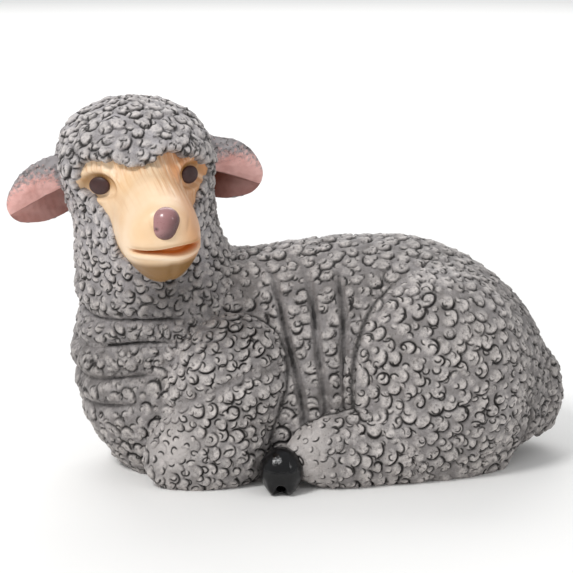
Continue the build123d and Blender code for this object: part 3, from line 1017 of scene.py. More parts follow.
class Coat:
    """All the castings that carry fleece."""

    def __init__(self) -> None:
        """Makes the one paint that they share."""
        self.paint = FleecePaint().material()

    def finish(self, fleece: Fleece, patches: Sequence[Patch]) -> None:
        """Writes one casting and paints it."""
        dress(write_mesh(fleece.name, patches), self.paint, fleece.nodes)

    def torso(self) -> None:
        """Barrel: rays out of a line on the ground, over the spine from left to right, then parted."""
        rows, columns = 420, 461
        start, end = (-100.0, 0.0, 0.0), (110.0, 0.0, 0.0)
        spindle = Spindle(start, end, (0.0, LEFT, 0.0), (rows, columns), (0.0, -180.0), 125.0, 125.0)
        joints = [(HEAD.column().distance, NECK_FILLET), (BODY.tail.distance, TAIL_FILLET)]
        for side in (LEFT, RIGHT):
            joints += [
                (BODY.shoulder(side).distance, SHOULDER_FILLET),
                (BODY.forearm(side).distance, LEG_FILLET),
                (BODY.thigh(side).distance, HAUNCH_FILLET),
                (BODY.shank(side).distance, LEG_FILLET),
            ]
        ribs = Curls(13, self.flank_lean, spacing=9.6, radius=6.2, swing=0.25, rise=1.6)
        small, (main_curls, _) = self.gouges(11, self.flank_lean, strength=self.chest_strength)
        curls = [small, (main_curls, self.beside_ribs), (ribs, self.on_ribs)]
        whole = Fleece("torso", ()).patch(spindle, BODY.torso.distance, curls, joints, self.furrows)
        for word, half in (("left", slice(0, columns // 2 + 1)), ("right", slice(columns // 2, columns))):
            fleece = Fleece(f"{word}_torso_fleece", (f"torso_{word}_shell",))
            paint = {key: values[:, half] for key, values in whole.paint.items()}
            self.finish(fleece, [Patch(whole.points[:, half], False, paint)])

    @staticmethod
    def gouges(seed: int, lean: Lean, **style) -> list[tuple[Curls, Field]]:
        """Main curls of a casting, over a layer of small nicks that roughens the ground between them.

        Args:
            seed: choice of their places.
            lean: direction that they lean to at a place.
            style: other settings of the main curls.

        Returns:
            Both layers, each lying anywhere.
        """
        small = Curls(seed + 100, lean, spacing=7.4, radius=2.9, rise=0.4, depth=0.8, groove=0.24, swing=1.4)
        return [(small, anywhere), (Curls(seed, lean, **style), anywhere)]

    @staticmethod
    def flank_lean(place: Array) -> Array:
        """Curls hang on the upper half of the flank and stand on the lower half."""
        return np.array([0.3, 0.0, -1.0 if place[2] > 88.0 else 1.0])

    @staticmethod
    def chest_strength(place: Array) -> float:
        """Curls are a little weaker on the chest."""
        return 0.9 if place[0] < -135.0 else 1.0

    @staticmethod
    def furrow_lines(points: Array) -> list[Array]:
        """Places along X of the three furrows at the height of each point."""
        lines = ((-27.8, -0.19), (-7.9, -0.08), (10.0, 0.0))
        sway = 1.2 * ripple(points, 60.0, 3)
        return [middle + lean * (points[..., 2] - 89.6) + sway for middle, lean in lines]

    def ribs(self, points: Array) -> Array:
        """Field that is positive on the ribs between the furrows: how far the nearest furrow is."""
        first, second, third = (points[..., 0] - line for line in self.furrow_lines(points))
        rib = np.maximum(np.minimum(first, -second), np.minimum(second, -third))
        low = np.minimum(150.0 - points[..., 2], np.abs(points[..., 1]) - 30.0)
        return np.minimum(rib, low)

    def beside_ribs(self, points: Array) -> Array:
        """Field that is positive away from the ribs."""
        return -self.ribs(points)

    def on_ribs(self, points: Array) -> Array:
        """Field that is positive in the middle of the ribs."""
        return self.ribs(points) - 5.4

    def furrows(self, points: Array) -> Relief:
        """Furrows in each flank, folds across the chest, a crease beside the tail and a raised rear edge,
        with painted shade in the furrows, the crease, the flank's hollow and on the rump.
        """
        x, y, z = parts(points)
        flank = smooth(34.0, 50.0, z) * fade(136.0, 160.0, z) * smooth(20.0, 40.0, np.abs(y))
        relief = self.folds(points)
        for line in self.furrow_lines(points):
            apart = np.abs(x - line)
            # Painted shade along each furrow.
            dark = (0.5 + 0.25 * ripple(points, 30.0, 4)) * fade(0.6, 2.8, apart)
            relief.darken(dark * flank)
            relief.clear(fade(2.6, 5.0, apart) * flank)
            relief.height -= 4.8 * fade(1.0, 4.6, apart) * flank
        # Painted shade in the hollow of the flank and on the rump towards the rear, and a darker band along
        # the top of the back.
        dirt_and_shade = 0.3 * bell(x - 2.0, 48.0) * flank + 0.2 * smooth(135.0, 160.0, z)
        relief.wear_and_shade -= dirt_and_shade + 0.4 * smooth(110.0, 160.0, x)
        beside = x - 153.5 - 0.25 * (z - 27.5) - 1.6 * ripple(points, 18.0, 9)
        reach_up = smooth(8.0, 28.0, z) * fade(42.0, 66.0, z) * smooth(20.0, 30.0, np.abs(y))
        # Painted shade in the crease beside the tail.
        relief.darken((0.75 + 0.4 * ripple(points, 13.0, 10)) * bell(beside, 1.7) * reach_up)
        relief.clear(bell(beside, 3.4) * reach_up)
        relief.height -= 4.0 * bell(beside, 3.0) * reach_up
        relief.height -= 18.0 * smooth(132.0, 160.0, x) * fade(-6.0, 28.0, z)
        return relief

    @staticmethod
    def folds(points: Array) -> Relief:
        """Puffy rolls round the front and left of the neck and the chest, with sharp lines of painted shade
        between them.

        Each line has its height at the front, its slope, its end along X and its darkness.
        """
        x, y, z = parts(points)
        relief = plain(points)
        left = fade(-5.0, 25.0, y)
        lines = (
            (122.5, 0.0, -96.0, 0.75),
            (102.1, 0.05, -104.0, 0.7),
            (78.5, 0.1, -120.0, 0.5),
            (56.0, 0.1, -136.0, 0.5),
        )
        for level, slope, end, dark in lines:
            apart = z - (level + slope * (x + 165.0) + 2.4 * ripple(points, 70.0, 5))
            side = left * fade(end - 26.0, end + 4.0, x)
            strong = dark + 0.35 * ripple(points, 45.0, 6)
            # Painted shade in the line under each roll.
            relief.darken(strong * bell(apart, 1.2) * side)
            relief.clear(bell(apart, 3.5) * side)
            relief.height -= (2.6 * bell(apart, 1.8) + 4.6 * bell(apart, 6.5)) * side
        # Painted shade over the front of the chest.
        relief.wear_and_shade -= 0.4 * bell(z - 92.0, 45.0) * fade(-135.0, -105.0, x) * left
        return relief

    def foreleg(self, side: float, word: str) -> None:
        """Shoulder that runs into the folded foreleg: rays out of one steep line."""
        fleece = Fleece(f"{word}_foreleg_fleece", (f"{word}_foreleg",))
        shoulder, forearm = BODY.shoulder(side), BODY.forearm(side)
        start, end = (-92.0, 64.0 * side, 20.0), (-68.0, 62.0 * side, 92.0)
        spindle = Spindle(start, end, (0.0, side, 0.0), (280, 345), (-160.0, 160.0), 44.0, 44.0)

        def lean(place: Array) -> Array:
            """Curls hang on the shoulder and lie back along the folded leg."""
            return np.array([0.9, 0.0, -1.0 if place[2] > 50.0 else 0.1])

        def strength(place: Array) -> float:
            """Curls are worn away on the knee."""
            along, rise = (place[0] + 118.0) / 17.0, (place[2] - 33.0) / 22.0
            return 1.0 - 0.95 * math.exp(-(along**2) - rise**2)

        def knee(points: Array) -> Relief:
            """Valley between the shoulder and the folded leg, and a worn, paler knee."""
            relief = plain(points)
            x, z = points[..., 0], points[..., 2]
            stations = np.array([-140.0, -128.0, -120.0, -94.0, -79.0, -60.0, -41.0, -20.0])
            levels = np.array([48.0, 54.0, 58.4, 71.5, 79.4, 87.0, 89.0, 88.0])
            apart = z - curve(stations, levels, x)
            relief.height -= 3.2 * bell(apart, 5.0)
            relief.bare = 0.8 * bell(apart, 3.6)
            relief.wear_and_shade = bell(x + 118.0, 17.0) * bell(z - 33.0, 22.0) * 0.6
            return relief

        def form(points: Array) -> Array:
            """Field of the shoulder and the forearm, joined by a fillet."""
            return merge(shoulder.distance(points), forearm.distance(points), 26.0)

        seed = 21 if side == LEFT else 22
        curls = self.gouges(seed, lean, swing=0.25, spacing=9.0, radius=5.4, strength=strength)
        joints = ((BODY.torso.distance, SHOULDER_FILLET), (HEAD.column().distance, NECK_SHOULDER_FILLET))
        self.finish(fleece, [fleece.patch(spindle, form, curls, joints, knee)])

    def hind_leg(self, side: float, word: str) -> None:
        """Thigh and lower hind leg, each from rays out of its own line."""
        fleece = Fleece(f"{word}_hind_leg_fleece", (f"{word}_hind_leg",))
        thigh, shank = BODY.thigh(side), BODY.shank(side)
        outwards, turns = (0.0, side, 0.0), (-115.0, 115.0)
        upper = Spindle(*self.line(thigh, (25.0, 0.0, 0.0)), outwards, (250, 260), turns, 60.0, 60.0)
        lower = Spindle(*self.line(shank, (38.0, -8.0 * side, 0.0)), outwards, (190, 170), turns, 30.0, 30.0)

        def swirl(place: Array) -> Array:
            """Curls lean down and back, and round the front edge of the haunch."""
            return np.array([0.9, 0.0, -0.5 - 0.01 * (place[0] - thigh.centre[0])])

        def pastern(points: Array) -> Relief:
            """Worn, paler end of the leg beside the hoof."""
            relief = plain(points)
            relief.wear_and_shade = 0.5 * fade(-18.0, 8.0, points[..., 0])
            return relief

        def strength(place: Array) -> float:
            """Curls fade towards the hoof."""
            return min(1.0, max(0.25, (place[0] + 18.0) / 26.0))

        seed = 31 if side == LEFT else 32
        joints = ((BODY.torso.distance, HAUNCH_FILLET), (shank.distance, HOCK_FILLET))
        top = fleece.patch(upper, thigh.distance, self.gouges(seed, swirl, spacing=9.8), joints)
        curls = self.gouges(seed + 2, towards(0.8, 0.0, -0.5), strength=strength)
        joints = ((BODY.torso.distance, LEG_FILLET), (thigh.distance, HOCK_FILLET))
        self.finish(fleece, [top, fleece.patch(lower, shank.distance, curls, joints, pastern)])

    def tail(self) -> None:
        """Tail lump, from rays out of an upright line."""
        fleece = Fleece("tail_fleece", ("tail",))
        tail = BODY.tail
        line = self.line(tail, (0.0, 0.0, 12.0))
        spindle = Spindle(*line, (1.0, 0.0, 0.0), (150, 190), (-120.0, 120.0), 30.0, 30.0)
        curls = self.gouges(41, towards(0.4, -0.4, -1.0))

        def shaded_tail(points: Array) -> Relief:
            """Even painted shade over the tail, as on the rump."""
            relief = plain(points)
            relief.wear_and_shade -= 0.4
            return relief

        patch = fleece.patch(spindle, tail.distance, curls, [(BODY.torso.distance, TAIL_FILLET)], shaded_tail)
        self.finish(fleece, [patch])

    @staticmethod
    def line(egg: Egg, half: Point) -> tuple[Array, Array]:
        """Ends of a line through an ellipsoid's middle, given by the way from there to its second end."""
        return np.array(egg.centre) - np.array(half), np.array(egg.centre) + np.array(half)

    def head(self) -> None:
        """Neck and head: rays out of an upright line, ending in the crown."""
        fleece = Fleece("head_fleece", ("head_shell",))
        start, end = (-121.0, -3.0, 88.0), (-137.0, -12.0, 236.0)
        spindle = Spindle(start, end, (0.0, 1.0, 0.0), (270, 352), (0.0, 359.0), 0.0, 62.0, closed=True)
        cap = Curls(51, towards(0.1, -0.4, -1.0), spacing=8.8, radius=5.8, rise=1.8, swing=0.9, depth=1.6)
        drops = Curls(52, towards(0.5, 0.0, -1.0), 8.6, 4.9, rise=1.8, swing=0.6, stretch=1.25)
        small = Curls(53, towards(0.3, 0.0, -1.0), 6.4, 3.0, rise=0.4, depth=0.6, groove=0.24, swing=1.4)

        def above(points: Array) -> Array:
            """Field that is positive on the cap."""
            return HEAD.axes.local(points)[..., 1] - 6.0

        def below(points: Array) -> Array:
            """Field that is positive under the cap."""
            return 6.0 - HEAD.axes.local(points)[..., 1]

        curls = [(small, anywhere), (drops, below), (cap, above)]
        joints = [(BODY.torso.distance, NECK_FILLET)]
        joints += [(BODY.shoulder(side).distance, NECK_SHOULDER_FILLET) for side in (LEFT, RIGHT)]
        self.finish(fleece, [fleece.patch(spindle, HEAD.column().distance, curls, joints, self.cap)])

    def cap(self, points: Array) -> Relief:
        """Fleece sinks inside the face's outline, stands proud round it, and folds across the neck, with a
        painted shadow under the chin.
        """
        local = HEAD.axes.local(points)
        relief = self.folds(points)
        edge = HEAD.hairline(local, points)
        front = smooth(6.0, 22.0, local[..., 2])
        brow = smooth(-14.0, 4.0, local[..., 1])
        sunk = fade(-3.0, 0.6, edge) * front
        proud = bell(edge - 5.0, 8.0) * front
        relief.height += (1.0 + 2.8 * brow) * proud * (1.0 - sunk) - 11.0 * sunk
        gap = HEAD.muzzle.distance(points)
        collar = 6.0 * (1.0 - np.clip(gap / 16.0, 0.0, 1.0)) ** 2 + np.clip(-gap, 0.0, 5.0)
        relief.height += collar * (1.0 - sunk)
        relief.clear(sunk)
        # Painted shadow on the neck under the chin.
        relief.wear_and_shade -= bell(local[..., 1] + 92.0, 24.0) * bell(local[..., 0] - 12.0, 34.0) * front
        apart = np.linalg.norm(points[..., None, :] - HEAD.tufts, axis=-1).min(axis=-1)
        relief.height += 0.6 * HEAD.tuft_rise * bell(apart, 6.0) * (1.0 - sunk)
        return relief


@dataclass
class Face:
    """Cream face with its muzzle, mouth and eye sockets."""

    eye_spread: float = 34.2
    eye_drop: float = 6.5
    socket_depth: float = 3.4
    lid_rise: float = 1.9
    bag_rise: float = 0.9
    mouth_drop: float = 43.4
    mouth_depth: float = 7.0
    upper_lip_rise: float = 1.1
    lower_lip_rise: float = 1.4
    nostril_depth: float = 0.45
    stroke_rise: float = 0.22
    chin_dent: float = 1.0
    hair_width: float = 2.2
    hair_length: float = 18.0

    def skull(self, points: Array) -> Array:
        """Field of the head's front and the muzzle, slimmer at the chin, joined by a fillet."""
        local = HEAD.axes.local(points)
        slim = 1.0 + 0.1 * smooth(-46.0, -66.0, local[..., 1])
        slimmed = HEAD.axes.world(local * np.stack([slim, np.ones_like(slim), np.ones_like(slim)], axis=-1))
        return merge(HEAD.column(-HEAD.inset).distance(points), HEAD.muzzle.distance(slimmed), 16.0)

    def build(self) -> None:
        """Rays fan out of the middle of the head round the way the face looks."""
        axes = HEAD.axes
        rows, columns = 300, 320
        lean = np.radians(np.linspace(0.0, 82.0, 240))
        middle = axes.world(np.array([0.0, -30.0, 10.0]))

        def rays(lean: Array) -> tuple[Array, Array]:
            """Origins and directions at the given leans from straight ahead."""
            directions = axes.turn(sphere(lean, columns))
            return np.broadcast_to(middle, directions.shape), directions

        # The leans are spread a second time, so that rows lie evenly along the surface.
        origins, directions = rays(lean)
        rough = reach(origins, directions, self.skull, FACE_RAY)[..., None] * directions
        steps = np.linalg.norm(np.diff(rough, axis=0), axis=-1).mean(axis=1)
        length = np.concatenate([[0.0], np.cumsum(steps)])
        lean = np.interp(np.linspace(0.0, length[-1], rows), length, lean)
        origins, directions = rays(lean)
        points = origins + reach(origins, directions, self.skull, FACE_RAY)[..., None] * directions
        outwards = normals_of(points, directions)
        local = axes.local(points)
        height, paint = self.features(local)
        under = smooth(1.0, 9.0, HEAD.outline(local[..., 0], local[..., 1]))
        under = under * fade(50.0, 62.0, local[..., 2])
        points = points + (height * (1.0 - under) - 6.0 * under)[..., None] * outwards
        piece = write_mesh("face_paint", [Patch(points, True, paint)])
        dress(piece, self.paint(), ("face_casting",))

    def features(self, local: Array) -> tuple[Array, dict[str, Array]]:
        """Sockets with hooded lids, the mouth with its lips, nostrils, hair strokes and the shading.

        Args:
            local: points as across, up and ahead.

        Returns:
            Heights in millimetres and paint values.
        """
        across, up, ahead = parts(local)
        above_eye = up + self.eye_drop
        eye = np.hypot((np.abs(across) - self.eye_spread) / 1.15, above_eye)
        rear = fade(60.0, 72.0, ahead)
        socket = fade(7.8, 11.0, eye) * rear
        lid = bell(eye - 12.0, 2.6) * smooth(-5.0, 6.0, above_eye) * rear
        bag = bell(eye - 11.5, 2.4) * smooth(4.0, -4.0, above_eye) * rear
        front = smooth(62.0, 84.0, ahead)
        line = -self.mouth_drop + 1.4 * (across / 26.0) ** 2
        corner = fade(20.0, 27.0, np.abs(across))
        gape = 1.2 + 2.0 * bell(across - 8.0, 14.0)
        gap = fade(0.75, 1.25, np.abs(up - line + 0.4 * gape) / gape) * corner * front
        upper = bell(up - line - 5.5, 3.5) * front * corner
        lower = bell(up - line + 1.4 * gape + 2.0, 1.9) * front * corner
        nostril = bell(np.abs(across - 3.0) - 13.0 - 0.35 * (up + 26.0), 1.6) * bell(up + 27.0, 6.0)
        nostril = nostril * smooth(98.0, 108.0, ahead)
        chin = smooth(-50.0, -56.0, up - line - self.mouth_drop) * front
        under_lip = bell(up - line - 0.6 * gape - 1.8, 1.6) * front * corner
        brow = smooth(-12.0, 6.0, up) * rear
        stroke = np.sin(across * 2.4 + 0.25 * up + 2.0 * np.sin(across * 0.55))
        stroke = stroke * np.clip(brow + 0.6 * lid, 0.0, 1.0)
        steps = (
            (-self.socket_depth, socket),
            (self.lid_rise, lid),
            (self.bag_rise, bag),
            (-self.mouth_depth, gap),
            (self.upper_lip_rise, upper),
            (self.lower_lip_rise, lower),
            (-self.nostril_depth, nostril),
        )
        height = sum(size * shape for size, shape in steps)
        height += self.stroke_rise * stroke - self.chin_dent * bell(across - 2.0, 3.0) * chin
        hair = smooth(-40.0, -8.0, up) * fade(80.0, 112.0, ahead)
        hair = hair * (0.25 + 0.75 * smooth(-8.0, 10.0, across))
        # Painted shade in the upper halves of the sockets under the lids, in the nostrils and under the
        # upper lip.
        shaded = np.maximum(0.3 * nostril, 0.5 * under_lip)
        paint = {
            "mouth": gap,
            "socket": np.maximum(socket * smooth(-6.0, 3.0, above_eye), shaded),
            "chin": chin,
            "lip": lower,
            # Painted shade: the sheep's left side of the face, turned from the light, more on the brow and
            # lids.
            "side_shade": np.clip(smooth(2.0, 22.0, across) * (0.75 + 0.25 * brow + 0.2 * lid), 0.0, 1.0),
            "hair": np.clip(hair + 0.5 * brow, 0.0, 1.0),
            "hair_across": (across + 0.12 * up) / self.hair_width,
            "hair_along": up / self.hair_length,
        }
        return height, paint

    def paint(self) -> bpy.types.Material:
        """Cream paint with painted shade: peach over the sheep's left side of the face and most on the brow
        there, ochre in the hollows and dark ochre under the chin; orange in the mouth.
        """
        # Satin enamel, smooth on the muzzle and brushed in strands on the brow: broad, soft highlights.
        nodes = Nodes("face_paint")
        colour = nodes.over(linear("f1d4b2"), nodes.noise(26.0), "ecc69a", 0.35, 0.7)
        # Painted shade in peach over the sheep's left side of the face.
        colour = nodes.over(colour, nodes.value("side_shade"), "cf8b58", 0.0, 1.0, 0.88)
        spread = {"X": nodes.value("hair_across"), "Y": nodes.value("hair_along")}
        place = nodes.add("ShaderNodeCombineXYZ", spread).outputs["Vector"]
        inputs = {"Vector": place, "Scale": 1.0, "Detail": 2.0}
        strands = nodes.add("ShaderNodeTexNoise", inputs).outputs["Fac"]
        hair = nodes.value("hair")
        dark = nodes.maths(nodes.span(strands, 0.5, 0.68), hair, "MULTIPLY")
        colour = nodes.over(colour, dark, "c98f5c", 0.0, 1.0, 0.7)
        light = nodes.maths(nodes.span(strands, 0.48, 0.34), hair, "MULTIPLY")
        colour = nodes.over(colour, light, "f8e2c4", 0.0, 1.0, 0.5)
        # Painted shade in dark ochre under the chin.
        colour = nodes.over(colour, nodes.value("chin"), "7a520c", 0.0, 1.0, 0.92)
        colour = nodes.over(colour, nodes.value("lip"), "fbe6cd", 0.3, 1.0, 0.45)
        # Painted shade in ochre in the sockets, nostrils and under the upper lip.
        colour = nodes.over(colour, nodes.value("socket"), "a9783c", 0.1, 1.0, 0.8)
        colour = nodes.over(colour, nodes.value("mouth"), "c8742f", 0.1, 0.7)
        grain = nodes.maths(nodes.noise(1.6, 3.0), 0.1, "MULTIPLY")
        rough = nodes.span(nodes.noise(9.0), 0.3, 0.7, 0.32, 0.46)
        relief = nodes.maths(grain, nodes.maths(strands, hair, "MULTIPLY"), "SUBTRACT")
        return nodes.shade(Base_Color=colour, Roughness=rough, Normal=nodes.bump(relief, 1.2, 0.6))


def ball(centre: Array, axes: Axes, radii: Array, counts: tuple[int, int]) -> Array:
    """Grid of an ellipsoid's points: the ahead axis is its pole.

    Args:
        centre: middle in the shared frame.
        axes: its directions.
        radii: half sizes across, up and ahead.
        counts: rows from pole to pole and columns round it.

    Returns:
        Points of shape (rows, columns, 3).
    """
    return centre + axes.turn(sphere(np.linspace(0.0, math.pi, counts[0]), counts[1]) * radii)


@dataclass
class Eyes:
    """Flat dark discs that look out of their sockets."""

    half_width: float = 8.1
    half_height: float = 6.5
    dome: float = 2.4
    turn: float = 34.0

    def build(self) -> None:
        """Low domes, with the middle of each on the face."""
        # Satin enamel on a smooth disc: nearly flat colour with a faint sheen.
        paint = PlainPaint("eye_paint", "40201d", "321613", 0.5, 0.05, 1.5, 0.05).material()
        axes = HEAD.axes
        face = Face()
        for side, word in FACE_SIDES:
            turn = math.radians(self.turn) * side
            ahead = axes.turn(np.array([math.sin(turn), 0.0, math.cos(turn)]))
            across = axes.turn(np.array([math.cos(turn), 0.0, -math.sin(turn)]))
            depth = HEAD.half_depth * math.sqrt(1.0 - (face.eye_spread / HEAD.half_width) ** 2) - HEAD.inset
            middle = axes.world(np.array([face.eye_spread * side, -face.eye_drop, depth]))
            centre = middle - self.dome * ahead
            radii = np.array([self.half_width, self.half_height, self.dome])
            points = ball(centre, Axes(centre, across, axes.up, ahead), radii, (60, 90))
            piece = write_mesh(f"{word}_eye_disc", [Patch(points, True)])
            dress(piece, paint, (f"{word}_eye",))


@dataclass
class Nose:
    """Glossy knob of a larger ball over a smaller one."""

    shift: float = 0.4
    drop: float = 28.0
    reach: float = 117.0

    def build(self) -> None:
        """Rays out of the middle of two balls joined by a fillet."""
        axes = HEAD.axes
        middle = np.array([self.shift, -self.drop, self.reach])
        grid = ball(ORIGIN, axes, np.ones(3), (150, 160))
        centre = axes.world(middle)

        def lobes(points: Array) -> Array:
            """Field of the two balls."""
            local = axes.local(points) - middle
            upper = (local - np.array([0.0, 5.0, 0.0])) / np.array([1.0, 0.98, 0.95])
            lower = local - np.array([-1.8, -0.4, 1.8])
            return merge(np.linalg.norm(upper, axis=-1) - 9.8, np.linalg.norm(lower, axis=-1) - 8.2, 3.0)

        points = centre + reach(np.broadcast_to(centre, grid.shape), grid, lobes, NOSE_RAY)[..., None] * grid
        local = axes.local(points) - middle
        pit = bell(np.hypot(local[..., 0] + 8.0, local[..., 1] - 1.2), 1.2) * smooth(0.0, 3.0, local[..., 2])
        points = points - (1.4 * pit)[..., None] * axes.ahead
        # Painted shade where the surface turns down and away from the light, and in the pit.
        shade = smooth(0.6, -0.6, normals_of(points, grid) @ (0.8 * axes.up - 0.6 * axes.across))
        piece = write_mesh("nose_knob", [Patch(points, True, {"shade": np.maximum(shade, pit)})])
        dress(piece, self.paint(), ("nose_pad",))

    def paint(self) -> bpy.types.Material:
        """Glossy mauve, with painted shade towards the lower outer side and in the pit."""
        # Gloss enamel under a thin varnish: one small sharp glint.
        nodes = Nodes("nose_paint")
        grain = nodes.noise(2.5, 4.0, 0.6)
        return nodes.shade(
            Base_Color=nodes.mix(nodes.value("shade"), linear("a27575"), linear("5a3738")),
            Roughness=nodes.span(grain, 0.3, 0.7, 0.24, 0.38),
            Coat_Weight=0.35,
            Coat_Roughness=0.12,
            Normal=nodes.bump(grain, 0.08, 0.6),
        )


@dataclass
class Ears:
    """Drooping leaves with a folded upper flap over a hollow lower half."""

    length: float = 54.0
    half_width: float = 25.5
    spread: float = 47.0
    drop: float = 4.0
    droop: float = 24.0
    sweep: float = 8.0
    twist: float = 25.0

    def axes(self, side: float) -> Axes:
        """Directions of one ear: across it, out of its open side and along it."""
        droop, sweep, twist = (math.radians(angle) for angle in (self.droop, self.sweep, self.twist))
        flip = np.array([side, 1.0, 1.0])
        flat = math.cos(sweep)
        along = np.array([math.cos(droop) * flat, -math.sin(droop) * flat, -math.sin(sweep)])
        level = np.array([math.sin(droop), math.cos(droop), 0.0])
        across = level * math.cos(twist) + np.cross(along, level) * math.sin(twist)
        head = HEAD.axes
        root = head.world(np.array([self.spread, -self.drop, 0.0]) * flip)
        out = np.cross(along, across)
        return Axes(root, head.turn(across * flip), head.turn(out * flip), head.turn(along * flip))

    def build(self) -> None:
        """Closed cross-sections along each ear.

        The front of a section bulges above the fold and is hollow below it, and the back is one bow.
        """
        paint = self.paint()
        place = np.linspace(-0.14, 1.0, 150)[:, None]
        turn = np.linspace(0.0, FULL_TURN, 220, endpoint=False)[None]
        stations = np.array([-0.14, 0.12, 0.38, 0.60, 0.82, 0.95, 1.0])
        shares = np.array([0.84, 0.95, 1.02, 0.93, 0.66, 0.38, 0.0])
        width = self.half_width * np.sqrt(np.maximum(curve(stations, shares**2, place), 0.0))
        part = np.cos(turn) + 0.0 * place
        rim = 1.0 - part**6
        end = np.sqrt(np.clip(1.0 - place**4, 0.0, 1.0))
        fold = smooth(-0.26, -0.08, part - 0.12 * place)
        flap = (4.6 * bell(part - 0.42, 0.62)) * fold
        hollow = -(5.0 - 1.8 * place) * bell(part + 0.55, 0.42) * (1.0 - fold) * smooth(-0.1, 0.25, place)
        front = (flap + hollow + 2.2 * fade(0.1, 0.45, place)) * rim * end
        back = -(9.5 - 2.0 * place) * np.sqrt(np.clip(1.0 - part**2, 0.0, 1.0)) * end
        out = np.where(np.sin(turn) >= 0.0, front, back)
        sections = np.stack([width * part - 3.5 * place**2, out, self.length * place + 0.0 * part], axis=-1)
        open_side = np.where(np.sin(turn) >= 0.0, 1.0, 0.0) + 0.0 * place
        facing = np.where(open_side > 0.5, 1.0, -1.0)
        wool = np.maximum(1.0 - open_side, smooth(0.15, 0.95, part + 0.25 - 0.75 * place))
        wool = np.maximum(wool, fade(0.12, 0.3, place)) * (1.0 - (1.0 - fold) * open_side)
        wool = np.clip(wool, 0.0, 1.0)
        # Painted shade along the fold under the flap.
        crease = bell(part - 0.12 * place + 0.2, 0.08) * open_side
        for side, word in FACE_SIDES:
            axes = self.axes(side)
            points = axes.world(sections)
            lumps = 0.8 * ripple(points, 9.0, 91) + 0.5 * ripple(points, 4.8, 92)
            lumps = (0.3 + 0.9 * wool) * lumps * end
            points = points + lumps[..., None] * facing[..., None] * axes.up
            deep = (0.85 + 0.15 * side) * (1.0 - fold) * open_side * (1.0 - 0.5 * smooth(0.3, 1.0, place))
            patch = Patch(points, True, {"wool": wool, "deep": deep, "fold": crease})
            dress(write_mesh(f"{word}_ear_leaf", [patch]), paint, (f"{word}_ear",))

    def paint(self) -> bpy.types.Material:
        """Salmon pink that turns to grey on the outside and to brown inside."""
        # Matt paint blended wet on the casting: dull and powdery, with grey specks where the wool starts.
        nodes = Nodes("ear_paint")
        colour = nodes.over(linear("f0bfb8"), nodes.noise(12.0), "d9a098", 0.35, 0.7)
        colour = nodes.mix(nodes.value("deep"), colour, linear("5a240e"))
        grain = nodes.noise(2.6, 4.0, 0.6)
        wool = nodes.value("wool")
        ragged = nodes.maths(wool, nodes.span(grain, 0.35, 0.65, -0.3, 0.3), "ADD")
        colour = nodes.over(colour, ragged, "9b9697", 0.3, 0.9)
        specks = nodes.maths(nodes.span(nodes.noise(2.2, 2.0), 0.58, 0.66, 0.0, 0.7), wool, "MULTIPLY")
        colour = nodes.mix(specks, colour, linear("3a3433"))
        # Painted shade along the fold.
        colour = nodes.over(colour, nodes.value("fold"), "7a4c40", 0.2, 1.0, 0.45)
        normal = nodes.bump(grain, 0.5, 0.6)
        return nodes.shade(Base_Color=colour, Roughness=0.55, Specular_IOR_Level=0.2, Normal=normal)


@dataclass
class Hooves:
    """Glossy cloven hooves on the ground at the ends of the hind legs."""

    lead: float = 2.8
    shift: float = 4.6
    rise: float = 16.0
    turn: float = 80.0
    cleft: float = 3.2

    def build(self) -> None:
        """Domes that are split in front and spread into two toes."""
        # Thick black gloss paint that ran a little as it dried: deep black with wavy glints.
        paint = PlainPaint("hoof_paint", "020203", "050407", 0.13, 0.0, 1.6, 0.3, 0.42).material()
        for side, word in SIDES:
            shank = BODY.shank(side)
            lean, turn = math.radians(-shank.turn * side), math.radians(self.turn)
            along = np.array([-math.cos(lean), side * math.sin(lean), 0.0])
            outwards = np.array([-math.sin(lean), -math.cos(lean), 0.0]) * np.array([1.0, -side, 0.0])
            middle = np.array(shank.centre) + (shank.radii[0] + self.lead) * along + self.shift * outwards
            middle[2] = self.rise
            ahead = np.array([-math.cos(turn), side * math.sin(turn), 0.0])
            hoof = Axes(middle, np.cross(Z, ahead), Z, ahead)
            points = ball(middle, hoof, np.array([16.0, 18.0, 16.0]), (150, 170))
            local = hoof.local(points)
            front = smooth(-2.0, 9.0, local[..., 2])
            low = fade(-14.0, -6.0, local[..., 1])
            split = bell(local[..., 0], self.cleft) * front * low
            toes = bell(np.abs(local[..., 0]) - 7.5, 4.0) * front * low
            streaks = points * np.array([1.0, 1.0, 0.45])
            drips = 0.34 * ripple(streaks, 11.0, 95) + 0.12 * ripple(streaks, 5.0, 96)
            outwards = unit(local) @ np.stack([hoof.across, hoof.up, hoof.ahead])
            points = points + (4.2 * toes - 6.5 * split)[..., None] * ahead + drips[..., None] * outwards
            points[..., 2] += 5.0 * split
            points[..., 2] = np.maximum(points[..., 2], 0.0)
            piece = write_mesh(f"{word}_hoof_horn", [Patch(points, True)])
            dress(piece, paint, (f"{word}_hind_hoof",))


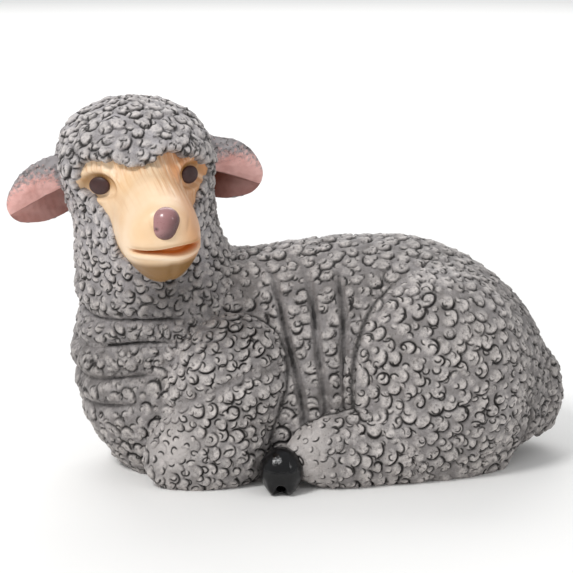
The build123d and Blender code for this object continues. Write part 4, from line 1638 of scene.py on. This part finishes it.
@dataclass
class Studio:
    """Camera, light and floor."""

    target: Point = (-23.0, 0.0, 133.0)
    azimuth: float = 8.0
    elevation: float = 12.0
    distance: float = 1600.0
    lens: float = 132.7

    def camera(self) -> None:
        """Camera at the photograph's angle."""
        turn, rise = math.radians(self.azimuth), math.radians(self.elevation)
        back = Vector((-math.sin(turn) * math.cos(rise), -math.cos(turn) * math.cos(rise), math.sin(rise)))
        data = bpy.data.cameras.new("camera")
        data.lens = self.lens
        data.sensor_width = 36.0
        data.clip_end = 50.0
        camera = bpy.data.objects.new("camera", data)
        camera.location = Vector(self.target) * MM + back * self.distance * MM
        camera.rotation_euler = back.to_track_quat("Z", "Y").to_euler()
        bpy.context.collection.objects.link(camera)
        bpy.context.scene.camera = camera

    def light(self, name: str, place: Point, size: float, power: float) -> None:
        """Square soft light that looks at the object."""
        data = bpy.data.lights.new(name, "AREA")
        data.size = size
        data.energy = power
        lamp = bpy.data.objects.new(name, data)
        lamp.location = place
        aim = Vector(place) - Vector((0.0, 0.0, 0.12))
        lamp.rotation_euler = aim.to_track_quat("Z", "Y").to_euler()
        bpy.context.collection.objects.link(lamp)

    def floor(self) -> None:
        """Wide pale floor."""
        size = 12.0
        corners = [(-size, -size, 0), (size, -size, 0), (size, size, 0), (-size, size, 0)]
        mesh = bpy.data.meshes.new("floor")
        mesh.from_pydata(corners, [], [(0, 1, 2, 3)])
        floor = bpy.data.objects.new("floor", mesh)
        bpy.context.collection.objects.link(floor)
        # Matt white paper: no glints, so that only the soft shadow shows.
        mesh.materials.append(Nodes("floor_paint").shade(Base_Color=linear("f6f5f3"), Roughness=0.9))

    def build(self) -> None:
        """Sets up the whole studio."""
        self.camera()
        self.floor()
        world = bpy.data.worlds.new("studio")
        world.use_nodes = True
        sky = world.node_tree.nodes["Background"]
        sky.inputs["Color"].default_value = linear("f4f6f8")
        sky.inputs["Strength"].default_value = 0.62
        bpy.context.scene.world = world
        bpy.context.scene.view_settings.view_transform = "Standard"
        self.light("key", (-1.3, -1.1, 2.0), 0.55, 32.0)
        self.light("fill", (1.6, -1.4, 1.0), 0.3, 3.0)
        self.light("back", (0.2, 3.4, 2.6), 3.5, 90.0)


def base_plate() -> None:
    """Bare resin on the plate under the figure."""
    # Cast resin as it leaves the mould: dull and chalky.
    paint = PlainPaint("base_resin", "a39d95", "8d877f", 0.7, 0.0, 3.0, 0.2).material()
    plate = bpy.data.objects["base_plate"]
    plate.data.materials.clear()
    plate.data.materials.append(paint)


def main() -> None:
    """Builds the studio and every piece in order."""
    logging.basicConfig(level=logging.INFO, format="%(name)s %(message)s")
    Studio().build()
    coat = Coat()
    coat.torso()
    for side, word in SIDES:
        coat.foreleg(side, word)
        coat.hind_leg(side, word)
    coat.tail()
    coat.head()
    for piece in (Face(), Eyes(), Nose(), Ears(), Hooves()):
        piece.build()
    base_plate()


if __name__ == "__main__":
    main()
